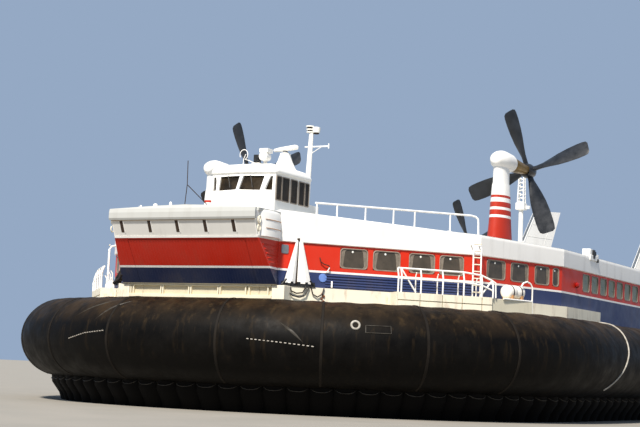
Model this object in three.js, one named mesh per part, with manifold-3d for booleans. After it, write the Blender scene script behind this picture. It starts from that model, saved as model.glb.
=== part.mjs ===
// A very large car ferry hovercraft, as a 1:2 scale model.
// +X is towards the bow, +Y to port and +Z up, with the origin on the ground under the middle of the skirt.
// Every size here is the real craft's, in metres. The last step turns each piece into model millimetres.

import * as THREE from 'three';
import { mergeVertices } from 'three/addons/utils/BufferGeometryUtils.js';
import Module from 'manifold-3d';

const wasm = await Module();
wasm.setup();

const SCALE = 0.5;
const MODEL_MM = 1000 * SCALE;
const GAP = 0.3 / MODEL_MM;

// Whole craft
const LENGTH = 56.38;
const BEAM = 28.04;
const HULL_HALF_WIDTH = 11.58;
const DECK_Z = 4.42;
const HULL_BOTTOM_Z = 2.5;
const PAD_BOTTOM_Z = 1.1;

// Skirt: the middle of the bag runs round this plan, and its section is a squashed circle
const BAG_HALF_WIDTH = 1.81;
const BAG_HALF_HEIGHT = 1.74;
const BAG_MIDDLE_Z = 2.78;
const BAG_BOTTOM_Z = BAG_MIDDLE_Z - BAG_HALF_HEIGHT;
const BAG_PATH_Y = BEAM / 2 - BAG_HALF_WIDTH;
const BAG_PATH_BOW_X = LENGTH / 2 - BAG_HALF_WIDTH;
const BAG_PATH_STERN_X = -LENGTH / 2 + BAG_HALF_WIDTH;
const BOW_CURVE_X = 13.81;
const BOW_CURVE_POWER = 2.09;
const STERN_CORNER_RADIUS = 2;
const HULL_INSET = BAG_PATH_Y - HULL_HALF_WIDTH;
const SKIRT_STEPS = 96;
const FINGERS_PER_STEP = 1.5;
const FINGER_INSET = 0.18;
const FINGER_LEAN = 0.5;
const FINGER_GROOVE = 0.16;

// Superstructure plan, port half: the front corner, then the ends of the flare, the shoulder and the side
const FRONT_HALF_WIDTH = 3.47;
const FRONT_FOOT_X = 24.85;
const FLARE_END = [18.19, 9.45];
const SHOULDER_END = [12.48, 11.11];
const STERN_X = -25.2;
const WALL = 0.16;

// Superstructure heights
const COAMING_TOP_Z = 5.1;
const RED_TOP_Z = 6.89;
const ROOF_CROWN_Z = 8.25;
const ROOF_FALL = 0.05;
const ROOF_THICKNESS = 0.12;
const ROOF_JOINTS_X = [5, -14];

// Overhanging bow front
const FRONT_TOP_X = 26.49;
const FRONT_RAKE = 0.63;
const FRONT_SKIN = 0.14;
const LIP_LOW_Z = 7.61;
const LIP_X = 26.81;

// Doors
const RAMP_HALF_WIDTH = 2.85;
const RAMP_FOOT_Z = 4.6;
const RAMP_TOP_Z = 6.85;
const STERN_DOOR_HALF_WIDTH = 4.725;
const STERN_DOOR_TOP_Z = 7.7;
const DOOR_THICKNESS = 0.14;
const DOOR_CLEARANCE = 0.02;

// Cabin windows
const WINDOW_LOW_Z = 5.98;
const WINDOW_HIGH_Z = 6.8;
const SIDE_WINDOW_WIDTH = 0.98;
const SIDE_WINDOW_PITCH = 1.31;
const SIDE_WINDOW_FIRST_X = 9.08;
const SIDE_WINDOW_COUNT = 20;

// Propulsion units
const PYLON_Y = 7.89;
const BOW_PYLON_X = 12.1;
const STERN_PYLON_X = -18;
const BOW_HUB_Z = 11.87;
const STERN_HUB_Z = 11.3;
const PROP_RADIUS = 3.2;
const PROP_AFT = 3.5;
const WELL_RADIUS = 1.75;
const WELL_FLOOR_Z = 5.6;
const WELL_SKIN = 0.1;
const VANE_COUNT = 8;
const VANE_DEPTH = 0.3;
const VANE_THICKNESS = 0.06;
const SOCKET_RADIUS = 1.05;

// Stern fins
const FIN_Y = 4.4;
const FIN_POST_X = -24.8;
const FIN_REST_TURN = -20;
const FIN_HALF_THICKNESS = 0.15;

// Control cabin
const CABIN_AFT_X = 19.1;
const CABIN_HALF_WIDTH = 1.6;
const CABIN_WALL = 0.1;
const CABIN_FLOOR_Z = 8.4;
const CABIN_ROOF_Z = 10.1;
const CABIN_SIDE_WINDOW_Z = [9.15, 9.9];
const CABIN_GLASS_Z = [9.09, 10.05];

const craft = new THREE.Group();

// Finishes
const finish = (color, roughness, metalness = 0) => (
  new THREE.MeshStandardMaterial({ color, roughness, metalness })
);
const whitePaint = finish(0xf2efe6, 0.45);
const redPaint = finish(0xd8331f, 0.45);
const deckPaint = finish(0x8d9294, 0.8);
const skirtRubber = finish(0x1c1b1a, 0.75);
const bladeBlack = finish(0x16181a, 0.4);
const engineMetal = finish(0x8a8c8e, 0.4, 0.8);
const windowGlass = finish(0x39424a, 0.1);

// A closed three.js geometry as a solid for cutting and joining
function solid(geometry) {
  geometry.deleteAttribute('normal');
  geometry.deleteAttribute('uv');
  const merged = mergeVertices(geometry, 1e-5);
  const corners = Array.from(merged.index.array);
  const kept = [];
  for (let i = 0; i < corners.length; i += 3) {
    const [a, b, c] = corners.slice(i, i + 3);
    if (a !== b && b !== c && c !== a) kept.push(a, b, c);
  }
  return new wasm.Manifold(new wasm.Mesh({
    numProp: 3,
    vertProperties: new Float32Array(merged.attributes.position.array),
    triVerts: new Uint32Array(kept),
  }));
}

const join = (solids) => solids.reduce((whole, next) => whole.add(next));

function extruded(outline, depth) {
  const shape = new THREE.Shape(outline.map(([a, b]) => new THREE.Vector2(a, b)));
  return new THREE.ExtrudeGeometry(shape, { depth, bevelEnabled: false });
}

// Prisms of an outline in plan, in side view (X and Z) and in end view (Y and Z)
function planPrism(outline, lowZ, highZ) {
  const geometry = extruded(outline, highZ - lowZ);
  geometry.translate(0, 0, lowZ);
  return solid(geometry);
}

function sidePrism(outline, lowY, highY) {
  const geometry = extruded(outline, highY - lowY);
  geometry.rotateX(Math.PI / 2);
  geometry.translate(0, highY, 0);
  return solid(geometry);
}

function endPrism(outline, lowX, highX) {
  const geometry = extruded(outline, highX - lowX);
  const turn = new THREE.Matrix4().makeBasis(
    new THREE.Vector3(0, 1, 0),
    new THREE.Vector3(0, 0, 1),
    new THREE.Vector3(1, 0, 0),
  );
  geometry.applyMatrix4(turn);
  geometry.translate(lowX, 0, 0);
  return solid(geometry);
}

function box([lowX, highX], [lowY, highY], [lowZ, highZ]) {
  const geometry = new THREE.BoxGeometry(highX - lowX, highY - lowY, highZ - lowZ);
  geometry.translate((lowX + highX) / 2, (lowY + highY) / 2, (lowZ + highZ) / 2);
  return solid(geometry);
}

// A round bar from one point to another, tapering if it has two radii
function bar(from, to, radius, endRadius = radius, sides = 6) {
  const start = new THREE.Vector3(...from);
  const run = new THREE.Vector3(...to).sub(start);
  const geometry = new THREE.CylinderGeometry(endRadius, radius, run.length(), sides);
  geometry.translate(0, run.length() / 2, 0);
  const turn = new THREE.Quaternion().setFromUnitVectors(new THREE.Vector3(0, 1, 0), run.normalize());
  geometry.applyQuaternion(turn);
  geometry.translate(start.x, start.y, start.z);
  return solid(geometry);
}

// Bars along a chain of points, lengthened a little so that they join at the bends
function railing(points, radius) {
  const bars = [];
  for (let i = 1; i < points.length; i += 1) {
    const from = new THREE.Vector3(...points[i - 1]);
    const to = new THREE.Vector3(...points[i]);
    const over = to.clone().sub(from).setLength(radius * 0.7);
    bars.push(bar(from.clone().sub(over).toArray(), to.clone().add(over).toArray(), radius));
  }
  return join(bars);
}

// A solid through rings of points. A closed loft joins its last ring to its first, an open one gets flat ends.
function loft(rings, closed) {
  const count = rings[0].length;
  const points = rings.flat();
  const faces = [];
  const bands = closed ? rings.length : rings.length - 1;
  for (let r = 0; r < bands; r += 1) {
    const here = r * count;
    const next = ((r + 1) % rings.length) * count;
    for (let i = 0; i < count; i += 1) {
      const j = (i + 1) % count;
      faces.push([here + i, here + j, next + j], [here + i, next + j, next + i]);
    }
  }
  if (!closed) {
    const last = (rings.length - 1) * count;
    for (let i = 1; i < count - 1; i += 1) {
      faces.push([0, i + 1, i], [last, last + i, last + i + 1]);
    }
  }
  let volume = 0;
  for (const [a, b, c] of faces) {
    volume += points[a].dot(points[b].clone().cross(points[c]));
  }
  const outward = volume < 0 ? faces.map(([a, b, c]) => [a, c, b]) : faces;
  const geometry = new THREE.BufferGeometry();
  geometry.setAttribute('position', new THREE.Float32BufferAttribute(points.flatMap((p) => p.toArray()), 3));
  geometry.setIndex(outward.flat());
  return solid(geometry);
}

// Add a piece to the craft, or to a group of it, in the model's millimetres
function piece(name, shape, paint, group = craft) {
  const mesh = shape.getMesh();
  const geometry = new THREE.BufferGeometry();
  geometry.setAttribute('position', new THREE.BufferAttribute(new Float32Array(mesh.vertProperties), 3));
  geometry.setIndex(new THREE.BufferAttribute(new Uint32Array(mesh.triVerts), 1));
  geometry.scale(MODEL_MM, MODEL_MM, MODEL_MM);
  geometry.computeVertexNormals();
  const part = new THREE.Mesh(geometry, paint);
  part.name = name;
  group.add(part);
  return part;
}

const sides = [
  { name: 'port', sign: 1 },
  { name: 'starboard', sign: -1 },
];

// A point part of the way from one to another in plan
const between = (from, to, part) => [from[0] + (to[0] - from[0]) * part, from[1] + (to[1] - from[1]) * part];

// Turn an outline drawn for the port side over for the starboard side
const mirrored = (outline, sign) => (sign > 0 ? outline : outline.map(([x, y]) => [x, -y]).reverse());

// Skirt path: points and outward normals, anticlockwise from the bow's starboard end
function bowStations(count) {
  const stations = [];
  for (let i = 0; i <= count; i += 1) {
    const angle = -Math.PI / 2 + (Math.PI * i) / count;
    const along = Math.max(Math.cos(angle), 0) ** (2 / BOW_CURVE_POWER);
    const across = Math.sign(Math.sin(angle)) * Math.abs(Math.sin(angle)) ** (2 / BOW_CURVE_POWER);
    const reach = BAG_PATH_BOW_X - BOW_CURVE_X;
    const normal = new THREE.Vector2(
      along ** (BOW_CURVE_POWER - 1) / reach,
      (Math.sign(across) * Math.abs(across) ** (BOW_CURVE_POWER - 1)) / BAG_PATH_Y,
    ).normalize();
    stations.push({ x: BOW_CURVE_X + reach * along, y: BAG_PATH_Y * across, nx: normal.x, ny: normal.y });
  }
  return stations;
}

function sternCorner(middleY, fromAngle, count) {
  const stations = [];
  for (let i = 0; i <= count; i += 1) {
    const angle = fromAngle + (Math.PI / 2 / count) * i;
    stations.push({
      x: BAG_PATH_STERN_X + STERN_CORNER_RADIUS + STERN_CORNER_RADIUS * Math.cos(angle),
      y: middleY + STERN_CORNER_RADIUS * Math.sin(angle),
      nx: Math.cos(angle),
      ny: Math.sin(angle),
    });
  }
  return stations;
}

const cornerY = BAG_PATH_Y - STERN_CORNER_RADIUS;
const outlineStations = [
  ...bowStations(60),
  ...sternCorner(cornerY, Math.PI / 2, 10),
  ...sternCorner(-cornerY, Math.PI, 10),
];

// The same path as stations spaced evenly round the bag's outside, starting on the starboard side
function evenStations(count) {
  const loop = [...outlineStations, outlineStations[0]];
  const outside = loop.map(({ x, y, nx, ny }) => (
    new THREE.Vector2(x + nx * BAG_HALF_WIDTH, y + ny * BAG_HALF_WIDTH)
  ));
  const lengths = [0];
  for (let i = 1; i < loop.length; i += 1) {
    lengths.push(lengths[i - 1] + outside[i].distanceTo(outside[i - 1]));
  }
  const stations = [];
  let at = 1;
  for (let i = 0; i < count; i += 1) {
    const wanted = (lengths[lengths.length - 1] * i) / count;
    while (lengths[at] < wanted) at += 1;
    const part = (wanted - lengths[at - 1]) / (lengths[at] - lengths[at - 1]);
    const mix = (key) => loop[at - 1][key] * (1 - part) + loop[at][key] * part;
    const normal = new THREE.Vector2(mix('nx'), mix('ny')).normalize();
    stations.push({ x: mix('x'), y: mix('y'), nx: normal.x, ny: normal.y });
  }
  return stations;
}

const skirtStations = evenStations(SKIRT_STEPS);
const onStation = ({ x, y, nx, ny }, [out, z]) => new THREE.Vector3(x + nx * out, y + ny * out, z);

// Buoyancy hull with the landing pads that it parks on when the skirt is down
const LANDING_PADS = [
  // x, y
  [15, 0],
  [6, 8],
  [6, -8],
  [-19, 7],
  [-19, -7],
];
function hull() {
  const outline = skirtStations.map(({ x, y, nx, ny }) => [x - nx * HULL_INSET, y - ny * HULL_INSET]);
  const pads = LANDING_PADS.map(([x, y]) => (
    bar([x, y, PAD_BOTTOM_Z], [x, y, HULL_BOTTOM_Z + 0.2], 1.1, 1.5, 10)
  ));
  return join([planPrism(outline, HULL_BOTTOM_Z, DECK_Z), ...pads]);
}

// Skirt bag: its section goes from the deck edge round the outside to the hull's bottom
const DOWN = -Math.PI / 2;
const STEPS_TO_BOTTOM = 11;
const STEPS_INWARD = 3;
function skirtBag() {
  const topAngle = Math.acos((-HULL_INSET + GAP) / BAG_HALF_WIDTH);
  const step = (topAngle - DOWN) / STEPS_TO_BOTTOM;
  const section = [];
  for (let i = 0; i <= STEPS_TO_BOTTOM + STEPS_INWARD; i += 1) {
    const angle = topAngle - step * i;
    section.push([BAG_HALF_WIDTH * Math.cos(angle), BAG_MIDDLE_Z + BAG_HALF_HEIGHT * Math.sin(angle)]);
  }
  section.push([-1.6, HULL_BOTTOM_Z - GAP], [-HULL_INSET + GAP, HULL_BOTTOM_Z - GAP]);
  return loft(skirtStations.map((station) => section.map((point) => onStation(station, point))), true);
}

// How steeply the bag's lowest facets rise from its bottom line
const bottomStep = (Math.acos((-HULL_INSET + GAP) / BAG_HALF_WIDTH) - DOWN) / STEPS_TO_BOTTOM;
const BAG_RISE = (BAG_HALF_HEIGHT * (1 - Math.cos(bottomStep))) / (BAG_HALF_WIDTH * Math.sin(bottomStep));

// Fingers: a ring of short rubber segments under the bag, with a groove between one finger and the next
function skirtFingers() {
  const pointsPerStep = FINGERS_PER_STEP * 2;
  const topZ = BAG_BOTTOM_Z - GAP;
  const rings = [];
  skirtStations.forEach((station, s) => {
    const next = skirtStations[(s + 1) % SKIRT_STEPS];
    for (let k = 0; k < pointsPerStep; k += 1) {
      const groove = (s * pointsPerStep + k) % 2 ? FINGER_GROOVE : 0;
      const foot = -FINGER_INSET - groove;
      const lip = foot + FINGER_LEAN;
      const part = k / pointsPerStep;
      const section = [
        [foot, 0],
        [lip, topZ + BAG_RISE * lip],
        [0, topZ],
        [-0.5, topZ + BAG_RISE * 0.5],
        [-0.8, 0],
      ];
      rings.push(section.map((point) => onStation(station, point).lerp(onStation(next, point), part)));
    }
  });
  return loft(rings, true);
}

piece('buoyancy_hull', hull(), deckPaint);
piece('skirt_bag', skirtBag(), skirtRubber);
piece('skirt_fingers', skirtFingers(), skirtRubber);

// Superstructure plan and the cambered space under the roof
const plan = [
  [STERN_X, -SHOULDER_END[1]],
  [SHOULDER_END[0], -SHOULDER_END[1]],
  [FLARE_END[0], -FLARE_END[1]],
  [FRONT_FOOT_X, -FRONT_HALF_WIDTH],
  [FRONT_FOOT_X, FRONT_HALF_WIDTH],
  FLARE_END,
  SHOULDER_END,
  [STERN_X, SHOULDER_END[1]],
];

// The plan moved inwards by a distance, or outwards by a negative one
function offsetPlan(distance) {
  const lines = plan.map((point, i) => {
    const next = plan[(i + 1) % plan.length];
    const along = new THREE.Vector2(next[0] - point[0], next[1] - point[1]).normalize();
    const inward = new THREE.Vector2(-along.y, along.x);
    return { at: new THREE.Vector2(...point).addScaledVector(inward, distance), along };
  });
  return lines.map((line, i) => {
    const before = lines[(i + lines.length - 1) % lines.length];
    const cross = before.along.x * line.along.y - before.along.y * line.along.x;
    const gap = line.at.clone().sub(before.at);
    const reach = (gap.x * line.along.y - gap.y * line.along.x) / cross;
    const corner = before.at.clone().addScaledVector(before.along, reach);
    return [corner.x, corner.y];
  });
}

const roofTop = (y) => ROOF_CROWN_Z - ROOF_FALL * Math.abs(y);
const WIDE = 13;

// Everything lower than a distance under the roof's top
function underTop(drop) {
  const shoulder = roofTop(WIDE) - drop;
  return endPrism([[-WIDE, 0], [WIDE, 0], [WIDE, shoulder], [0, roofTop(0) - drop], [-WIDE, shoulder]], -30, 30);
}

// Everything lower than the roof's underside, less a gap
const underRoof = (gap) => underTop(ROOF_THICKNESS + gap);

const innerPlan = offsetPlan(WALL);
const wallSpace = underRoof(GAP);

// One straight wall panel between two corners of the plan, with its ends mitred
function wallPanel(corner) {
  const next = (corner + 1) % plan.length;
  const [start, end] = [plan[corner], plan[next]].map((point) => new THREE.Vector2(...point));
  const trim = (point, towards) => {
    const way = towards === next ? end.clone().sub(start) : start.clone().sub(end);
    return new THREE.Vector2(...point).addScaledVector(way.normalize(), GAP).toArray();
  };
  const outline = [
    trim(plan[corner], next),
    trim(plan[next], corner),
    trim(innerPlan[next], corner),
    trim(innerPlan[corner], next),
  ];
  return planPrism(outline, DECK_Z + GAP, ROOF_CROWN_Z).intersect(wallSpace);
}

// A cutter through a wall between two distances along it from its start
function windowCutter(start, end, [from, to], [lowZ, highZ]) {
  const origin = new THREE.Vector2(...start);
  const along = new THREE.Vector2(...end).sub(origin).normalize();
  const across = new THREE.Vector2(-along.y, along.x).multiplyScalar(WALL * 2);
  const near = origin.clone().addScaledVector(along, from);
  const far = origin.clone().addScaledVector(along, to);
  const outline = [
    near.clone().sub(across),
    far.clone().sub(across),
    far.clone().add(across),
    near.clone().add(across),
  ];
  return planPrism(outline.map((point) => point.toArray()), lowZ, highZ);
}

// Windows on the angled walls, as distances from the wall's forward end
const FLARE_WINDOWS = [
  // from, to
  [2.67, 3.88],
  [4.12, 5.33],
  [5.73, 6.9],
  [7.12, 8.23],
];
const SHOULDER_WINDOWS = [
  [0.51, 1.8],
  [2.18, 3.44],
  [3.91, 4.99],
  [5.25, 5.72],
];
const sideStart = SIDE_WINDOW_FIRST_X + SIDE_WINDOW_WIDTH / 2;
const sideWindows = Array.from({ length: SIDE_WINDOW_COUNT }, (_, i) => {
  const from = SHOULDER_END[0] - sideStart + SIDE_WINDOW_PITCH * i;
  return [from, from + SIDE_WINDOW_WIDTH];
});

const WALL_PANELS = [
  // name, corner of the plan where it starts on each side, the port side's forward and aft ends, windows
  {
    name: 'wall_flare',
    corner: { port: 4, starboard: 2 },
    ends: [[FRONT_FOOT_X, FRONT_HALF_WIDTH], FLARE_END],
    windows: FLARE_WINDOWS,
  },
  {
    name: 'wall_shoulder',
    corner: { port: 5, starboard: 1 },
    ends: [FLARE_END, SHOULDER_END],
    windows: SHOULDER_WINDOWS,
  },
  {
    name: 'wall_side',
    corner: { port: 6, starboard: 0 },
    ends: [SHOULDER_END, [STERN_X, SHOULDER_END[1]]],
    windows: sideWindows,
  },
];
for (const side of sides) {
  for (const panel of WALL_PANELS) {
    const [forward, aft] = panel.ends.map(([x, y]) => [x, y * side.sign]);
    const cutters = panel.windows.map((span) => windowCutter(forward, aft, span, [WINDOW_LOW_Z, WINDOW_HIGH_Z]));
    const shape = wallPanel(panel.corner[side.name]).subtract(join(cutters));
    piece(`${panel.name}_${side.name}`, shape, redPaint);
  }
}

// Hinge seats on a door's sill, which reach up to the door's foot
const HINGE_LENGTH = 0.4;
const HINGE_PLACES = [-0.8, 0, 0.8];
function hingeSeats(lowX, highX, halfWidth) {
  const sill = RAMP_FOOT_Z - DOOR_CLEARANCE - 0.05;
  return HINGE_PLACES.map((place) => {
    const y = place * halfWidth;
    return box([lowX, highX], [y - HINGE_LENGTH / 2, y + HINGE_LENGTH / 2], [sill, RAMP_FOOT_Z - GAP]);
  });
}

// Window glass: a strip along the inside of each side's walls, behind the cut windows
const GLASS_THICKNESS = 0.03;
const GLASS_LAP = 0.06;
const GLASS_STARTS_AT = 0.2;
const GLASS_STOPS_AT = 0.79;
const glassOutside = offsetPlan(WALL + GAP);
const glassInside = offsetPlan(WALL + GAP + GLASS_THICKNESS);
for (const side of sides) {
  const [outside, inside] = [glassOutside, glassInside].map((corners) => {
    const [front, flareEnd, shoulderEnd, stern] = corners.slice(4);
    const bow = between(front, flareEnd, GLASS_STARTS_AT);
    return [bow, flareEnd, shoulderEnd, between(shoulderEnd, stern, GLASS_STOPS_AT)];
  });
  const strip = mirrored([...inside.reverse(), ...outside], side.sign);
  const glass = planPrism(strip, WINDOW_LOW_Z - GLASS_LAP, WINDOW_HIGH_Z + GLASS_LAP);
  piece(`window_glass_${side.name}`, glass, windowGlass);
}

// Bow portal: the overhanging front skin with its door opening, and the two cheeks beside it
const BOW_STEP_X = FRONT_TOP_X - FRONT_RAKE * (RED_TOP_Z - COAMING_TOP_Z) - 0.2;
const frontSkin = (lowZ, highZ) => {
  const frontX = (z) => {
    if (z < COAMING_TOP_Z) return BOW_STEP_X;
    if (z < RED_TOP_Z) return FRONT_TOP_X - FRONT_RAKE * (RED_TOP_Z - z);
    return FRONT_TOP_X + (LIP_X - FRONT_TOP_X) * Math.min(1, (z - RED_TOP_Z) / (LIP_LOW_Z - RED_TOP_Z));
  };
  const bends = [lowZ, COAMING_TOP_Z - 0.001, COAMING_TOP_Z, RED_TOP_Z, LIP_LOW_Z, highZ];
  const heights = bends.filter((z) => z >= lowZ && z <= highZ);
  const front = heights.map((z) => [frontX(z), z]);
  const back = heights.map((z) => [frontX(z) - FRONT_SKIN, z]).reverse();
  return [...front, ...back];
};
function bowPortal() {
  const skin = sidePrism(frontSkin(DECK_Z + GAP, ROOF_CROWN_Z), -FRONT_HALF_WIDTH, FRONT_HALF_WIDTH);
  const doorway = [RAMP_FOOT_Z - DOOR_CLEARANCE, RAMP_TOP_Z];
  const opening = box([24, 27], [-RAMP_HALF_WIDTH, RAMP_HALF_WIDTH], doorway);
  const cheek = [
    [FRONT_FOOT_X + 2 * GAP, COAMING_TOP_Z],
    [BOW_STEP_X + 0.2, COAMING_TOP_Z],
    [FRONT_TOP_X, RED_TOP_Z],
    [LIP_X, LIP_LOW_Z],
    [LIP_X, ROOF_CROWN_Z],
    [FRONT_FOOT_X + 2 * GAP, ROOF_CROWN_Z],
  ];
  const cheeks = sides.map(({ sign }) => {
    const outer = sign * FRONT_HALF_WIDTH;
    const inner = sign * (FRONT_HALF_WIDTH - FRONT_SKIN);
    return sidePrism(cheek, Math.min(outer, inner), Math.max(outer, inner));
  });
  const seats = hingeSeats(BOW_STEP_X - FRONT_SKIN, BOW_STEP_X, RAMP_HALF_WIDTH);
  return join([join([skin, ...cheeks]).subtract(opening).intersect(wallSpace), ...seats]);
}
piece('bow_portal', bowPortal(), whitePaint);

// Bow ramp door, hinged at its foot
function bowRamp() {
  const door = sidePrism(
    frontSkin(RAMP_FOOT_Z, RAMP_TOP_Z - DOOR_CLEARANCE),
    -RAMP_HALF_WIDTH + DOOR_CLEARANCE,
    RAMP_HALF_WIDTH - DOOR_CLEARANCE,
  );
  return door;
}
piece('bow_ramp_door', bowRamp(), redPaint);

// Stern wall with the engines' exhaust pipes, and its ramp door
const EXHAUST_Y = [-9.2, -7.3, 7.3, 9.2];
const EXHAUST_Z = 6.3;
const EXHAUST_RADIUS = 0.5;
function sternWall() {
  const outline = [
    [STERN_X, -SHOULDER_END[1] + WALL],
    [STERN_X + WALL, -SHOULDER_END[1] + WALL],
    [STERN_X + WALL, SHOULDER_END[1] - WALL],
    [STERN_X, SHOULDER_END[1] - WALL],
  ];
  const inset = 0.002;
  const wall = planPrism(outline.map(([x, y]) => [x, y - Math.sign(y) * inset]), DECK_Z + GAP, ROOF_CROWN_Z);
  const half = STERN_DOOR_HALF_WIDTH;
  const doorway = [RAMP_FOOT_Z - DOOR_CLEARANCE, STERN_DOOR_TOP_Z];
  const opening = box([STERN_X - 1, STERN_X + 1], [-half, half], doorway);
  const pipes = EXHAUST_Y.map((y) => (
    bar([STERN_X - 0.55, y, EXHAUST_Z], [STERN_X + 0.05, y, EXHAUST_Z], EXHAUST_RADIUS, EXHAUST_RADIUS, 12)
  ));
  const seats = hingeSeats(STERN_X, STERN_X + WALL, half);
  return join([wall.intersect(wallSpace).subtract(opening), ...pipes, ...seats]);
}
piece('stern_wall', sternWall(), whitePaint);

const sternHalf = STERN_DOOR_HALF_WIDTH - DOOR_CLEARANCE;
const sternDoorHeight = [RAMP_FOOT_Z, STERN_DOOR_TOP_Z - DOOR_CLEARANCE];
const sternDoor = box([STERN_X, STERN_X + DOOR_THICKNESS], [-sternHalf, sternHalf], sternDoorHeight);
piece('stern_ramp_door', sternDoor, whitePaint);

// Walls between the car deck and the passenger cabins
for (const side of sides) {
  const outline = mirrored([
    [STERN_X + WALL + 2 * GAP, 5.2],
    [STERN_X + WALL + 2 * GAP, 5.1],
    [16.5, 5.1],
    [24.7, 3.0],
    [24.7, 3.1],
    [16.52, 5.2],
  ], side.sign);
  const wall = planPrism(outline, DECK_Z + GAP, ROOF_CROWN_Z).intersect(wallSpace);
  piece(`car_deck_wall_${side.name}`, wall, whitePaint);
}

// Roof panels, with a fan intake well, its vanes and the pylon's socket under each pylon
const PYLONS = [
  // name, x, y, height of the propeller's hub
  { name: 'bow_port', x: BOW_PYLON_X, y: PYLON_Y, hubZ: BOW_HUB_Z },
  { name: 'bow_starboard', x: BOW_PYLON_X, y: -PYLON_Y, hubZ: BOW_HUB_Z },
  { name: 'stern_port', x: STERN_PYLON_X, y: PYLON_Y, hubZ: STERN_HUB_Z },
  { name: 'stern_starboard', x: STERN_PYLON_X, y: -PYLON_Y, hubZ: STERN_HUB_Z },
];
const socketTop = roofTop(PYLON_Y - SOCKET_RADIUS) + 0.06;

function intakeWell({ x, y }) {
  const outerRadius = WELL_RADIUS + WELL_SKIN;
  const outer = bar([x, y, WELL_FLOOR_Z - WELL_SKIN], [x, y, roofTop(y) - 0.06], outerRadius, outerRadius, 24);
  const inner = bar([x, y, WELL_FLOOR_Z], [x, y, 9], WELL_RADIUS, WELL_RADIUS, 24);
  const vanes = Array.from({ length: VANE_COUNT }, (_, i) => {
    const angle = ((i + 0.5) * 2 * Math.PI) / VANE_COUNT;
    const geometry = new THREE.BoxGeometry(WELL_RADIUS + 0.05, VANE_THICKNESS, VANE_DEPTH);
    geometry.translate((WELL_RADIUS + 0.05) / 2, 0, socketTop - 0.2 - VANE_DEPTH / 2);
    geometry.rotateZ(angle);
    geometry.translate(x, y, 0);
    return solid(geometry);
  });
  const socket = bar([x, y, socketTop - 0.6], [x, y, socketTop], SOCKET_RADIUS, SOCKET_RADIUS, 16);
  return { outer, inner, fittings: join([socket, ...vanes]) };
}

const ROOF_OVERHANG = 0.06;
function roofPanel(lowX, highX, wells, extra) {
  const shell = underTop(0).subtract(underTop(ROOF_THICKNESS));
  const outline = planPrism(offsetPlan(-ROOF_OVERHANG), 6.9, 8.5);
  let panel = outline.intersect(shell).intersect(box([lowX, highX], [-WIDE, WIDE], [6.9, 8.5]));
  panel = join([panel, ...extra]);
  for (const well of wells.map(intakeWell)) {
    panel = panel.add(well.outer).subtract(well.inner).add(well.fittings);
  }
  return panel;
}

// The rounded lip over the bow front
const LIP_DEPTH = 0.24;
const LIP_SECTION = [
  // forward of the front's top, z
  [GAP, LIP_LOW_Z],
  [0.07, LIP_LOW_Z],
  [0.11, LIP_LOW_Z + 0.08],
  [0.11, LIP_LOW_Z + 0.3],
  [0.07, LIP_LOW_Z + 0.46],
  [-0.04, LIP_LOW_Z + 0.58],
  [-LIP_DEPTH, ROOF_CROWN_Z],
  [-LIP_DEPTH, ROOF_CROWN_Z - ROOF_THICKNESS],
  [GAP, ROOF_CROWN_Z - ROOF_THICKNESS],
];
function bowLip() {
  const half = FRONT_HALF_WIDTH + ROOF_OVERHANG;
  const cover = box([FRONT_FOOT_X, LIP_X - LIP_DEPTH + 0.05], [-half, half], [7.5, ROOF_CROWN_Z]);
  const nose = sidePrism(LIP_SECTION.map(([x, z]) => [LIP_X + x, z]).reverse(), -half, half);
  const portalSpace = underRoof(0).intersect(box([20, LIP_X + GAP], [-half, half], [0, 9]));
  return nose.add(cover).subtract(portalSpace).intersect(underTop(0));
}

const [jointA, jointB] = ROOF_JOINTS_X;
piece('roof_bow', roofPanel(jointA + GAP, 27, PYLONS.slice(0, 2), [bowLip()]), whitePaint);
piece('roof_middle', roofPanel(jointB + GAP, jointA, [], []), whitePaint);
piece('roof_stern', roofPanel(-26, jointB, PYLONS.slice(2), []), whitePaint);

// Pylons: a streamlined post with the gearbox nacelle on top, and the propeller on its aft end
const POST_SECTIONS = [
  // part of the height, half chord, half thickness
  [0, 1, 0.62],
  [0.05, 0.96, 0.5],
  [0.25, 0.86, 0.455],
  [0.54, 0.76, 0.41],
  [0.84, 0.66, 0.33],
  [1, 0.66, 0.32],
];
const NACELLE_SECTIONS = [
  // forward of the post's axis, radius
  [0.85, 0.12],
  [0.72, 0.3],
  [0.4, 0.43],
  [0, 0.48],
  [-0.7, 0.47],
  [-1.12, 0.38],
  [-2.5, 0.27],
];
const HUB_FRONT = 0.5;
const POST_SIDES = 16;
const NACELLE_SIDES = 14;

function ring(count, place) {
  return Array.from({ length: count }, (_, i) => place((2 * Math.PI * i) / count));
}

function pylon(hubZ) {
  const foot = socketTop + GAP;
  const height = hubZ - 0.2 - foot;
  const post = loft(POST_SECTIONS.map(([part, chord, thickness]) => ring(POST_SIDES, (angle) => (
    new THREE.Vector3(chord * Math.cos(angle), thickness * Math.sin(angle), foot + height * part)
  ))), false);
  const sections = [...NACELLE_SECTIONS, [-PROP_AFT + HUB_FRONT + GAP, 0.24]];
  const nacelle = loft(sections.map(([x, radius]) => ring(NACELLE_SIDES, (angle) => (
    new THREE.Vector3(x, radius * Math.cos(angle), hubZ + radius * Math.sin(angle))
  ))), false);
  return post.add(nacelle);
}

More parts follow.
